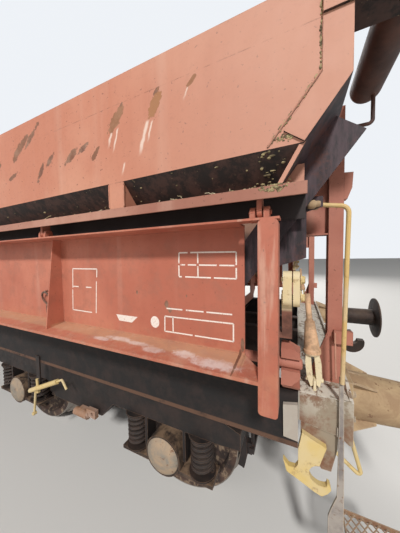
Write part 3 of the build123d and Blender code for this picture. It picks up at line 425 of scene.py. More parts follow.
def red_steel(name, colour, faded, rust, wear, walls=False, doors=False, ends=False, shelf=False):
    """Oxide red paint over rusting sheet. With walls, ends or shelf set, down-facing or sheltered faces also
    get painted shade.
    """
    new = Finish(name)
    coat = base_paint(new, colour, faded)
    metal = bare_metal(new, rust)
    flakes = new.noise(6.5, 9, 0.68, 0.6)
    limit = 0.765 - 0.08 * wear
    gone = new.step(flakes, limit, limit + 0.012)
    edges = new.times(new.edge_wear(0.006), new.spots(0.42, 0.6, 22, 5, 0.7))
    gone = new.larger(gone, new.times(edges, 0.75))
    if walls:
        bleach = new.step(new.size(new.x), 4.5, 5.4)
        coat = new.cover(coat, bleach, 0.5, srgb(190, 146, 126))
        patches, tan = wall_patches(new)
        metal = new.cover(metal, tan, 0.9, srgb(158, 108, 70))
        gone = new.larger(gone, patches)
        coat = new.cover(coat, wall_runs(new), 0.8, srgb(222, 200, 184))
    if doors:
        gone = new.larger(gone, door_rust(new))
        past_panel = DOOR_MID_X + DOOR_END + 0.006
        lip = new.step(new.z, LEDGE_Z + 0.012, LEDGE_Z - 0.004)
        lip = new.times(lip, new.step(new.size(new.x), past_panel + 0.006, past_panel))
        ragged = new.plus(new.size(new.y), new.wobble(0.05, 14, 5, 0.7))
        inner = new.times(lip, new.step(ragged, 1.400, 1.370))
        coat = new.cover(coat, inner, 0.8, srgb(186, 144, 112))
        mottled = new.times(lip, new.spots(0.46, 0.68, 18, 8, 0.8))
        coat = new.cover(coat, mottled, 0.35, srgb(208, 174, 150))
        coat = new.cover(coat, ledge_chalk(new), 0.66, srgb(222, 210, 203))
        arm = new.step(new.size(new.x), past_panel, past_panel + 0.006)
        runs = new.noise(1.0, 4, 0.6, vector=new.stretched((24, 24, 2.6), shift=(1, 2, 0)))
        runs = new.step(runs, 0.5, 0.7)
        coat = new.cover(coat, new.times(arm, runs), 0.38, srgb(214, 182, 160))
        coat = new.cover(coat, new.spots(0.5, 0.66, 9, 5, 0.7), 0.35, srgb(146, 96, 78))
        foot = new.times(new.step(new.z, LEDGE_Z + 0.09, LEDGE_Z), new.spots(0.4, 0.62, 15, 6, 0.75))
        coat = new.cover(coat, foot, 0.3, srgb(190, 132, 100))
    tint = new.mix(gone, coat, metal)
    if walls:
        # Dark dirt and painted shade on the faces that face down under the walls' foot, with pale lichen
        # specks.
        crust_and_shade = new.mix(new.spots(0.42, 0.6, 16, 8, 0.75), srgb(26, 18, 15), srgb(66, 44, 37))
        crumbs = new.spots(0.66, 0.71, 60, 4, 0.7)
        crust_and_shade = new.mix(crumbs, crust_and_shade, srgb(158, 140, 104))
        tint = new.mix(new.step(new.facing_up(), -0.25, -0.45), tint, crust_and_shade)
    if ends:
        # Painted shade with a purple painted sky reflection, streaked and with rust spots, on the end walls'
        # faces that do not face up.
        grain = new.noise(1.0, 6, 0.7, vector=new.stretched((26, 9, 5), (0, 0.93, 0)))
        shade = new.mix(new.step(grain, 0.4, 0.62), srgb(30, 21, 24), srgb(70, 52, 56))
        shade = new.mix(new.spots(0.52, 0.68, 7, 7, 0.75), shade, srgb(84, 48, 40))
        tint = new.mix(new.step(new.facing_up(), 0.35, 0.1), tint, shade)
    if shelf:
        # Painted shade: the shelf's sheltered faces behind its front edge that do not face up turn near
        # black.
        inside = new.step(new.size(new.y), SIDE_Y - 0.004, SIDE_Y - 0.010)
        tint = new.mix(new.times(inside, new.step(new.facing_up(), 0.35, 0.1)), tint, srgb(34, 22, 19))
    low = new.times(new.step(new.z, 1.33, 0.9), new.spots(0.4, 0.65, 5, 5))
    tint = new.cover(tint, low, 0.6, srgb(108, 86, 72))
    roughness = new.plus(new.times(new.noise(12, 4), 0.25), 0.58)
    relief = new.minus(new.times(new.noise(90, 4, 0.6), 0.35), new.times(gone, 0.8))
    return new.finish(tint, roughness, bump=relief, bump_strength=0.35, bump_distance=0.0012)


def dirty_steel(name, colour, mottle, dust, amount, metallic=0.1):
    """Dark greasy steel with dust on what faces up; some of the dark colours passed in are painted shade."""
    new = Finish(name)
    tone = new.mix(new.spots(0.4, 0.65, 7, 6, 0.65), colour, mottle)
    up = new.step(new.facing_up(), -0.1, 0.8)
    cover = new.times(new.plus(new.times(up, 0.7), 0.3), new.spots(0.36, 0.64, 11, 6, 0.7))
    tone = new.mix(new.times(cover, amount), tone, dust)
    tone = new.cover(tone, new.edge_wear(0.005), 0.5, srgb(150, 112, 84))
    relief = new.noise(48, 6, 0.7)
    roughness = new.plus(new.times(new.noise(20, 4), 0.3), 0.55)
    return new.finish(tone, roughness, metallic, relief, 0.4, 0.0015)


def cast_iron(name, colour, dust):
    """Rough casting, tan with dust and grey where it is rubbed."""
    new = Finish(name)
    tone = new.mix(new.spots(0.35, 0.65, 9, 6, 0.65, 0.5), colour, dust)
    tone = new.mix(new.spots(0.58, 0.68, 30, 5, 0.7), tone, srgb(112, 78, 56))
    tone = new.cover(tone, new.edge_wear(0.008), 0.6, srgb(196, 180, 156))
    relief = new.plus(new.noise(55, 5, 0.65), new.times(new.noise(9, 3), 0.6))
    return new.finish(tone, 0.82, 0.0, relief, 0.5, 0.002)


def yellow_paint(name, colour, rust, other=None, full=0.0, none=0.0, axis="z"):
    """Faded yellow with chips down to rust; another colour takes over along an axis, from none to full."""
    new = Finish(name)
    pale = tuple(0.8 * part + 0.12 for part in colour[:3]) + (1.0,)
    tone = new.mix(new.spots(0.4, 0.65, 6, 4), colour, pale)
    dirt = new.spots(0.56, 0.66, 26, 6, 0.75)
    tone = new.cover(tone, dirt, 0.65, srgb(150, 116, 78))
    if other:
        shade = tuple(0.55 * part for part in other[:3]) + (1.0,)
        patchy = new.mix(new.spots(0.42, 0.62, 13, 6, 0.7), other, shade)
        tone = new.mix(new.step(new.size(getattr(new, axis)), none, full), tone, patchy)
    chips = new.spots(0.66, 0.68, 38, 7, 0.75, 0.5)
    edges = new.times(new.edge_wear(0.004), new.spots(0.45, 0.6, 60, 3))
    chips = new.larger(chips, new.times(edges, 0.8))
    tone = new.mix(chips, tone, rust)
    return new.finish(tone, 0.66, 0.0, new.minus(new.noise(80, 3), chips), 0.3, 0.001)


def headstock_paint(name):
    """Grey-brown beam with rusty runs and pale flakes on its top."""
    new = Finish(name)
    tone = new.mix(new.spots(0.4, 0.6, 6, 7, 0.7, 0.5), srgb(146, 132, 112), srgb(122, 84, 62))
    high = new.step(new.z, 1.02, 1.14)
    pale = new.times(high, new.spots(0.46, 0.56, 11, 8, 0.75))
    tone = new.cover(tone, pale, 0.8, srgb(176, 166, 150))
    top = new.step(new.z, 1.176, 1.184)
    flakes = new.spots(0.44, 0.48, 24, 8, 0.7, 0.6)
    tone = new.mix(new.times(top, flakes), tone, srgb(206, 198, 184))
    inner = new.step(new.size(new.x), 5.44, 5.432)
    tone = new.cover(tone, inner, 0.8, srgb(176, 168, 156))
    tone = new.cover(tone, new.edge_wear(0.006), 0.5, srgb(196, 184, 164))
    relief = new.plus(new.noise(55, 5, 0.65), new.times(new.times(top, flakes), 2.0))
    return new.finish(tone, 0.85, 0.0, relief, 0.5, 0.002)


def sole_bar_dirt_shade_and_lit_edge(name, dirt, painted_lit_strip):
    """Near-black dirt and painted shade, with a patchy brown band below z 0.93 that is painted sunlight on
    the lower edge.
    """
    new = Finish(name)
    tone = new.mix(new.spots(0.42, 0.64, 8, 6, 0.7), dirt, srgb(36, 25, 21))
    # Painted light: below z 0.93 the lower edge turns brown in patches, standing for sunlight.
    edge = new.step(new.z, 0.934, 0.926)
    patchy = new.spots(0.34, 0.5, 5, 7, 0.75)
    tone = new.mix(new.times(edge, new.times(patchy, 0.85)), tone, painted_lit_strip)
    return new.finish(tone, 0.85, 0.0, new.noise(50, 6, 0.7), 0.4, 0.0015)


def wheel_steel(name, dust):
    """Rusty wheel disc with a bright tread."""
    new = Finish(name)
    along = new.minus(new.size(new.minus(new.size(new.x), PIVOT_X)), HALF_WHEELBASE)
    radius = new.math("SQRT", new.oval(along, new.minus(new.z, AXLE_Z)))
    tread = new.step(radius, TREAD_FROM_R, TREAD_FROM_R + 0.006)
    tone = new.mix(new.spots(0.4, 0.62, 8, 6, 0.7), srgb(40, 28, 23), srgb(70, 50, 40))
    tone = new.cover(tone, new.spots(0.5, 0.64, 18, 5, 0.7), 0.5, dust)
    tone = new.mix(tread, tone, srgb(150, 142, 134))
    roughness = new.minus(0.8, new.times(tread, 0.45))
    return new.finish(tone, roughness, new.times(tread, 0.9), new.noise(50, 5), 0.25, 0.001)


def stencil_white(name, white, under):
    """Worn stencilled marking."""
    new = Finish(name)
    lost = new.spots(0.56, 0.62, 120, 6, 0.75)
    tone = new.mix(new.times(lost, 0.8), white, under)
    return new.finish(tone, 0.8)


def lichen(name, dark, pale):
    """Dry moss and dirt."""
    new = Finish(name)
    tone = new.mix(new.spots(0.4, 0.6, 40, 4), dark, pale)
    return new.finish(tone, 0.95, bump=new.noise(200, 3), bump_strength=0.5)


FINISHES = {}


def dress(piece, finish, body):
    """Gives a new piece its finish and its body."""
    piece.data.materials.clear()
    piece.data.materials.append(FINISHES[finish])
    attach(piece, body)


def piece_from(name, bm, finish, body, sharp=35):
    """Mesh object of a bmesh, at the origin, with smooth faces and sharp edges past an angle."""
    bmesh.ops.remove_doubles(bm, verts=bm.verts, dist=1e-5)
    bmesh.ops.recalc_face_normals(bm, faces=bm.faces)
    mesh = bpy.data.meshes.new(name)
    bm.to_mesh(mesh)
    bm.free()
    for face in mesh.polygons:
        face.use_smooth = True
    mesh.set_sharp_from_angle(angle=math.radians(sharp))
    piece = bpy.data.objects.new(name, mesh)
    bpy.context.scene.collection.objects.link(piece)
    dress(piece, finish, body)
    return piece


def facing(direction):
    """Turn that takes +Z to a direction."""
    return Vector(direction).to_track_quat("Z", "Y").to_matrix().to_4x4()


def add_cone(bm, place, segments, low, top, depth, rise):
    """Cylinder or cone about a place's Z axis, with its middle raised."""
    bmesh.ops.create_cone(bm, cap_ends=True, segments=segments, radius1=low, radius2=top, depth=depth,
                          matrix=place @ Matrix.Translation((0, 0, rise)))


def add_bolt(bm, at, direction, radius):
    """Hexagonal head with a chamfered top and a round washer."""
    height = radius * 0.75
    place = Matrix.Translation(at) @ facing(direction)
    add_cone(bm, place, 16, radius * 1.35, radius * 1.3, height * 0.3, height * 0.1)
    add_cone(bm, place, 6, radius, radius, height, height * 0.6)
    add_cone(bm, place, 6, radius, radius * 0.8, height * 0.2, height * 1.2)


def add_plate(bm, front, back):
    """Solid between two outlines of as many points."""
    front = [bm.verts.new(point) for point in front]
    back = [bm.verts.new(point) for point in back]
    bm.faces.new(front)
    bm.faces.new(back[::-1])
    for i in range(len(front)):
        bm.faces.new((front[i], front[i - 1], back[i - 1], back[i]))


def add_box(bm, low, high, bevel=0.0):
    """Block between two corners, with its edges rounded."""
    size = [b - a for a, b in zip(low, high)]
    middle = [(a + b) / 2 for a, b in zip(low, high)]
    place = Matrix.Translation(middle) @ Matrix.Diagonal((*size, 1))
    made = bmesh.ops.create_cube(bm, size=1.0, matrix=place)
    if bevel:
        edges = list({edge for vert in made["verts"] for edge in vert.link_edges})
        bmesh.ops.bevel(bm, geom=edges, offset=bevel, offset_type="OFFSET", segments=2, profile=0.5,
                        affect="EDGES", material=-1, clamp_overlap=True)


def add_turned(bm, profile, at, direction, steps):
    """Solid of revolution: profile of (radius, height) turned about a line."""
    place = Matrix.Translation(at) @ facing(direction)
    verts = [bm.verts.new((radius, 0, height)) for radius, height in profile]
    edges = [bm.edges.new(pair) for pair in zip(verts, verts[1:])]
    bmesh.ops.transform(bm, matrix=place, verts=verts)
    axis = (place.to_3x3() @ Vector((0, 0, 1))).normalized()
    bmesh.ops.spin(bm, geom=verts + edges, cent=place.translation, axis=axis, angle=math.tau,
                   steps=steps, use_merge=True)


def add_tube(bm, points, radius, sides, closed=False):
    """Round bar along a path of points."""
    curve = bpy.data.curves.new("path", "CURVE")
    curve.dimensions = "3D"
    curve.bevel_depth = radius
    curve.bevel_resolution = max(sides // 4, 1)
    curve.use_fill_caps = not closed
    spline = curve.splines.new("POLY")
    spline.points.add(len(points) - 1)
    for point, place in zip(spline.points, points):
        point.co = (*place, 1)
    spline.use_cyclic_u = closed
    holder = bpy.data.objects.new("path", curve)
    mesh = bpy.data.meshes.new_from_object(holder)
    bm.from_mesh(mesh)
    bpy.data.objects.remove(holder)
    bpy.data.curves.remove(curve)
    bpy.data.meshes.remove(mesh)


def add_strip(bm, start, stop, wide, thick):
    """Flat bar between two points, with its width as level as it can be."""
    run = stop - start
    place = Matrix.Translation((start + stop) / 2) @ facing(run)
    bmesh.ops.create_cube(bm, size=1.0, matrix=place @ Matrix.Diagonal((wide, thick, run.length, 1)))


def rounded(points, radius, steps=8):
    """Path through the points with its corners rounded."""
    points = [Vector(point) for point in points]
    path = [points[0]]
    for before, corner, after in zip(points, points[1:], points[2:]):
        start = corner + (before - corner).normalized() * radius
        stop = corner + (after - corner).normalized() * radius
        for i in range(steps + 1):
            t = i / steps
            path.append(start.lerp(corner, t).lerp(corner.lerp(stop, t), t))
    path.append(points[-1])
    return path


def arc(centre, radius, start, stop, steps, axes):
    """Points of an arc in the plane of two unit axes."""
    first, second = Vector(axes[0]), Vector(axes[1])
    points = []
    for i in range(steps + 1):
        angle = math.radians(start + (stop - start) * i / steps)
        points.append(Vector(centre) + first * radius * math.cos(angle) + second * radius * math.sin(angle))
    return points


def corners():
    """The four corners of the wagon as (side, end)."""
    return [(side, end) for _, end in ENDS for side in SIDES]


def door_places():
    """The four doors as (side, end, place in their names)."""
    places = (("near", -1), ("far", 1))
    return [(side, end, f"{place}_{letter}") for letter, end in ENDS for place, side in places]


# Operators, one for each group of pieces

class WAGON_OT_finishes(Operator):
    """Makes the materials and paints the CAD nodes with them"""
    bl_idname = "wagon.finishes"
    bl_label = "Finishes"

    def execute(self, context):
        paint = context.scene.wagon_paint
        rust, dust, grime_and_shade = tuple(paint.rust), tuple(paint.dust), tuple(paint.grime_and_shade)
        door, wall = tuple(paint.door_red), tuple(paint.wall_red)
        faded = srgb(188, 116, 92)
        pale = srgb(196, 138, 112)
        yellow = tuple(paint.yellow)
        FINISHES.update(
            wall=red_steel("wall_paint_and_shade", wall, pale, rust, paint.wear, walls=True),
            door=red_steel("door_paint", door, faded, rust, paint.wear * 0.6, doors=True),
            frame=red_steel("frame_paint", srgb(158, 94, 76), srgb(182, 120, 100), rust, paint.wear),
            shelf=red_steel("shelf_paint_and_shade", srgb(150, 98, 80), srgb(178, 130, 110), rust, paint.wear,
                            shelf=True),
            end=red_steel("end_wall_paint_and_shade", srgb(142, 82, 66), srgb(160, 104, 86), rust, 1.0, ends=True),
            floor=red_steel("floor_steel", srgb(120, 86, 66), srgb(150, 122, 100), rust, 1.0),
            # Underframe colours are darkened as painted shade as well as dirt.
            under=dirty_steel("underframe_dirt_and_shade", grime_and_shade, srgb(58, 40, 33), srgb(104, 84, 68), 0.25),
            # Near-black dirt and painted shade on the sole bars, with a brown band of painted sunlight.
            sole=sole_bar_dirt_shade_and_lit_edge("sole_bar_dirt_shade_and_lit_edge", srgb(17, 12, 10), srgb(96, 68, 51)),
            # The end tubes' dark colours are dirt and painted shade.
            tube=dirty_steel("end_tube_dirt_and_shade", srgb(58, 38, 33), srgb(86, 56, 46), srgb(118, 82, 66),
                             0.5, 0.0),
            # Near-black bogie colours stand for dirt and painted shade under the wagon.
            bogie=dirty_steel("bogie_dirt_and_shade", srgb(20, 15, 13), srgb(40, 28, 24), srgb(88, 68, 54), 0.22),
            box=dirty_steel("axle_box_dirt", srgb(28, 21, 18), srgb(48, 35, 29), srgb(160, 130, 102), 0.6),
            # Greasy steel darkened further as painted shade.
            steel=dirty_steel("greasy_steel_and_shade", srgb(36, 30, 27), srgb(58, 42, 35), srgb(120, 100, 82),
                              0.3, 0.4),
            cast=cast_iron("dusty_casting", srgb(132, 124, 112), dust),
            casing=cast_iron("buffer_casing", srgb(150, 122, 92), srgb(178, 152, 116)),
            step=cast_iron("step_grey", srgb(120, 112, 108), srgb(158, 148, 138)),
            mesh=cast_iron("rusty_mesh", srgb(124, 84, 60), srgb(156, 122, 92)),
            ring=cast_iron("ring_steel", srgb(62, 38, 31), srgb(104, 62, 50)),
            stock=headstock_paint("weathered_headstock"),
            yellow=yellow_paint("faded_yellow", yellow, rust),
            rail=yellow_paint("rail_yellow", srgb(206, 172, 108), rust),
            handle=yellow_paint("handle_yellow", srgb(206, 180, 122), rust,
                                srgb(40, 30, 26), 1.1425, 1.1435, "y"),
            brake=yellow_paint("brake_gear_paint", srgb(148, 110, 84), rust,
                               srgb(36, 27, 24), 1.02, 1.03, "y"),
            lever=yellow_paint("lever_yellow", srgb(224, 206, 160), rust,
                               srgb(214, 172, 134), 1.362, 1.352),
            lock=yellow_paint("lock_lever_yellow", srgb(222, 200, 150), rust,
                              srgb(124, 80, 64), 1.600, 1.625),
            wheel=wheel_steel("wheel_steel", dust),
            marking=stencil_white("stencil_white", tuple(paint.marking), door),
            lichen=lichen("dry_lichen", srgb(92, 80, 58), srgb(168, 152, 112)),
            stalk=lichen("dry_stalk", srgb(186, 168, 128), srgb(214, 202, 168)),
        )
        groups = {
            "wall": ("side_walls", "wall_straps", "top_rim", "end_rim"),
            "shelf": ("shelf_beams",),
            "door": ("door_near_a", "door_near_b", "door_far_a", "door_far_b", "middle_posts", "hinge_ears"),
            "frame": ("end_posts", "shaft_brackets", "cross_frames", "door_shafts"),
            "end": ("end_walls",),
            "tube": ("end_tubes",),
            "lock": ("lock_levers",),
            "lever": ("hand_levers",),
            "rail": ("handrails",),
            "floor": ("saddle_floor_near", "saddle_floor_far"),
            "sole": ("sole_bars",),
            "stock": ("headstocks",),
            "casing": ("buffer_casings",),
            "under": ("centre_sill", "cross_members", "body_bolsters", "air_reservoirs", "brake_cylinder",
                      "brake_pipe"),
            "steel": ("draw_hooks", "screw_couplings", "buffer_heads"),
            "yellow": ("rope_hooks", "shunter_rails"),
            "handle": ("changeover_handles",),
        }
        starts = (("bogie_frame", "bogie"), ("brake_gear", "brake"), ("axle_boxes", "box"),
                  ("springs", "steel"), ("axle_a", "wheel"), ("axle_b1", "wheel"), ("axle_b2", "wheel"),
                  ("wheels", "wheel"))
        for start, finish in starts:
            groups[finish] = groups.get(finish, ()) + tuple(name for name in NODES if name.startswith(start))
        painted = set()
        for finish, names in groups.items():
            for name in names:
                node = NODES[name]
                node.data.materials.clear()
                node.data.materials.append(FINISHES[finish])
                painted.add(name)
        missed = set(NODES) - painted
        if missed:
            raise RuntimeError(f"no finish for {sorted(missed)}")
        return {"FINISHED"}


class WAGON_OT_springs(Operator):
    """Coil springs with their seats, for the plain bars of the CAD"""
    bl_idname = "wagon.springs"
    bl_label = "Springs"

    def execute(self, context):
        sizes = context.scene.wagon_sizes
        for letter, end in ENDS:
            bm = bmesh.new()
            for axle in (-HALF_WHEELBASE, HALF_WHEELBASE):
                for dx in (-SPRING_X, SPRING_X):
                    for side in SIDES:
                        at = Vector((end * PIVOT_X + axle + dx, side * JOURNAL_Y, SPRING_FOOT_Z))
                        self.add_coil(bm, at, sizes.coil_radius, sizes.coil_wire, sizes.coil_turns)
                        self.add_coil(bm, at, sizes.coil_radius * 0.55, sizes.coil_wire * 0.7,
                                      int(sizes.coil_turns * 1.5))
                        for rise in (SEAT / 2, SPRING_TOP_Z - SPRING_FOOT_Z - SEAT / 2):
                            add_cone(bm, Matrix.Translation(at), 24, 0.09, 0.09, SEAT, rise)
            piece = piece_from(f"coil_springs_{letter}", bm, "bogie", f"bogie_{letter}")
            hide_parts(f"springs_{letter}")
        return {"FINISHED"}

    def add_coil(self, bm, at, radius, wire, turns):
        height = SPRING_TOP_Z - SPRING_FOOT_Z - 2 * (wire + SEAT)
        steps = turns * 18
        place = Matrix.Translation(at + Vector((radius, 0, wire + SEAT)))
        place = place @ Matrix.Rotation(math.pi / 2, 4, "X")
        ring = bmesh.ops.create_circle(bm, cap_ends=False, segments=8, radius=wire, matrix=place)["verts"]
        edges = list({edge for vert in ring for edge in vert.link_edges})
        bmesh.ops.spin(bm, geom=ring + edges, cent=at, axis=(0, 0, 1), dvec=(0, 0, height / steps),
                       angle=math.tau * turns, steps=steps, use_merge=False)
        open_edges = [edge for edge in bm.edges if edge.is_boundary]
        bmesh.ops.holes_fill(bm, edges=open_edges, sides=8)


class WAGON_OT_axle_boxes(Operator):
    """Domed covers on the axle boxes"""
    bl_idname = "wagon.axle_boxes"
    bl_label = "Axle box covers"

    def execute(self, context):
        profile = [(0.130, -0.034), (0.130, -0.014), (0.126, -0.004), (0.115, 0.008), (0.096, 0.019),
                   (0.068, 0.028), (0.034, 0.033), (0.0, 0.034)]
        for letter, end in ENDS:
            bm = bmesh.new()
            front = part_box(f"axle_boxes_{letter}")[1][1]
            for axle in (-HALF_WHEELBASE, HALF_WHEELBASE):
                for side in SIDES:
                    at = (end * PIVOT_X + axle, side * front, AXLE_Z)
                    add_turned(bm, profile, at, (0, side, 0), 48)
            piece_from(f"axle_box_covers_{letter}", bm, "cast", f"bogie_{letter}")
        return {"FINISHED"}


class WAGON_OT_welds(Operator):
    """Weld beads along the joints of the sheets"""
    bl_idname = "wagon.welds"
    bl_label = "Weld beads"

    def execute(self, context):
        radius = context.scene.wagon_sizes.weld_radius
        rng = random.Random(11)
        body = bmesh.new()
        for side, end in corners():
            y = side * (SIDE_Y + 0.001)
            outline = [(end * x, y, z) for x, z in ((5.488, 2.535), (5.488, 2.385), (5.330, 2.192))]
            shelf = [(end * x, side * DOOR_Y, SHELF_Z + 0.001) for x in (5.45, 5.24)]
            for start, stop in (outline[:2], outline[1:], shelf):
                self.add_bead(body, start, stop, radius, rng)
            for x in (end * 4.645, end * DOOR_MID_X, end * 0.815):
                for edge in (x - 0.046, x + 0.046):
                    top, foot = ((edge, side * SIDE_Y, z) for z in (2.18, 2.07))
                    self.add_bead(body, top, foot, radius, rng)
        piece_from("weld_beads", body, "wall", "wagon_body")
        for side, end, place in door_places():
            bm = bmesh.new()
            for at in RIB_AT:
                for x in (end * DOOR_MID_X + at - 0.007, end * DOOR_MID_X + at + 0.007):
                    foot = (x, side * DOOR_Y, LEDGE_Z + 0.004)
                    self.add_bead(bm, (x, side * DOOR_Y, 1.95), foot, radius, rng)
            for x in (end * DOOR_MID_X - DOOR_END, end * DOOR_MID_X + DOOR_END):
                start = (x, side * (DOOR_Y + 0.003), LEDGE_Z)
                self.add_bead(bm, start, (x, side * 1.445, LEDGE_EDGE_Z), radius, rng)
            piece_from(f"door_welds_{place}", bm, "door", f"door_{place}")
        return {"FINISHED"}

    def add_bead(self, bm, start, stop, radius, rng):
        start, stop = Vector(start), Vector(stop)
        length = (stop - start).length
        count = max(int(length / (radius * 2.4)), 2)
        points = []
        for i in range(count + 1):
            stray = Vector((rng.uniform(-1, 1), 0, rng.uniform(-1, 1))) * radius * 0.2
            points.append(start.lerp(stop, i / count) + stray)
        add_tube(bm, points, radius, 6)


class WAGON_OT_fasteners(Operator):
    """Bolts on the buffers and the grab rails"""
    bl_idname = "wagon.fasteners"
    bl_label = "Bolts"

    def execute(self, context):
        radius = context.scene.wagon_sizes.bolt_radius
        buffers, rails = bmesh.new(), bmesh.new()
        for side, end in corners():
            for dy in (-0.112, 0.112):
                for dz in (-0.062, 0.062):
                    at = (end * 5.67, side * (BUFFER_Y + dy), BUFFER_Z + dz)
                    add_bolt(buffers, at, (end, 0, 0), radius)
            for z in (1.665, 1.735):
                add_bolt(rails, (end * 5.436, side * 1.297, z), (end, 0, 0), radius)
        piece_from("frame_bolts", buffers, "cast", "wagon_body")
        piece_from("rail_bolts", rails, "yellow", "wagon_body")
        return {"FINISHED"}


# Stencilled frames on a door: x and z of the lines' ends
MARKING_LINES = (
    ((4.085, 1.766), (4.310, 1.766)), ((4.085, 1.766), (4.078, 1.640)), ((4.310, 1.766), (4.306, 1.715)),
    ((4.302, 1.690), (4.290, 1.492)), ((4.076, 1.628), (4.070, 1.494)), ((4.070, 1.494), (4.252, 1.492)),
    ((4.080, 1.650), (4.135, 1.650)), ((4.205, 1.650), (4.255, 1.650)),
    ((4.892, 1.852), (4.940, 1.852)), ((4.955, 1.852), (5.178, 1.850)), ((4.892, 1.852), (4.890, 1.800)),
    ((4.890, 1.790), (4.890, 1.736)), ((5.180, 1.850), (5.180, 1.792)), ((5.180, 1.780), (5.180, 1.732)),
    ((4.890, 1.734), (4.905, 1.734)), ((4.925, 1.734), (5.060, 1.733)), ((5.075, 1.733), (5.180, 1.732)),
    ((4.900, 1.793), (4.925, 1.793)), ((4.940, 1.793), (4.985, 1.792)), ((5.000, 1.792), (5.090, 1.791)),
    ((5.102, 1.791), (5.172, 1.790)), ((4.994, 1.850), (4.994, 1.800)), ((4.994, 1.786), (4.994, 1.736)),
    ((4.812, 1.568), (4.905, 1.569)), ((4.925, 1.569), (5.020, 1.570)), ((5.035, 1.570), (5.160, 1.571)),
    ((4.800, 1.526), (5.165, 1.530)), ((4.800, 1.526), (4.798, 1.447)), ((5.165, 1.530), (5.165, 1.449)),
    ((4.798, 1.447), (4.960, 1.448)), ((4.972, 1.448), (5.165, 1.449)), ((4.849, 1.526), (4.849, 1.449)),
)


class WAGON_OT_markings(Operator):
    """Blank stencilled frames, a patch and a dot on one door of each side"""
    bl_idname = "wagon.markings"
    bl_label = "Door markings"

    def execute(self, context):
        half = context.scene.wagon_sizes.line_width / 2
        for body, turn in (("door_near_a", 1), ("door_far_b", -1)):
            bm = bmesh.new()
            for start, stop in MARKING_LINES:
                self.add_line(bm, start, stop, half)
            self.add_shape(bm, ((4.459, 1.502), (4.618, 1.502), (4.577, 1.466), (4.482, 1.467)))
            dot = [(4.736 + 0.028 * math.cos(math.tau * i / 20), 1.488 + 0.031 * math.sin(math.tau * i / 20))
                   for i in range(20)]
            self.add_shape(bm, dot)
            if turn < 0:
                bmesh.ops.rotate(bm, verts=bm.verts, matrix=Matrix.Rotation(math.pi, 3, "Z"))
            piece_from(f"stencil_{body}", bm, "marking", body)
        return {"FINISHED"}

    def add_line(self, bm, start, stop, half):
        (x0, z0), (x1, z1) = start, stop
        length = math.hypot(x1 - x0, z1 - z0)
        nx, nz = -(z1 - z0) / length * half, (x1 - x0) / length * half
        self.add_shape(bm, ((x0 + nx, z0 + nz), (x1 + nx, z1 + nz), (x1 - nx, z1 - nz), (x0 - nx, z0 - nz)))

    def add_shape(self, bm, outline):
        front, back = ([(x, y - DOOR_Y, z) for x, z in outline] for y in (-0.0004, 0.0002))
        add_plate(bm, front, back)


# Heaps of lichen at each corner of the shelf: x, depth, z, count
CRUMB_HEAPS = ((5.365, 1.405, 2.067, 110), (5.385, SIDE_Y, 2.212, 50), (5.35, SIDE_Y, 2.054, 90))


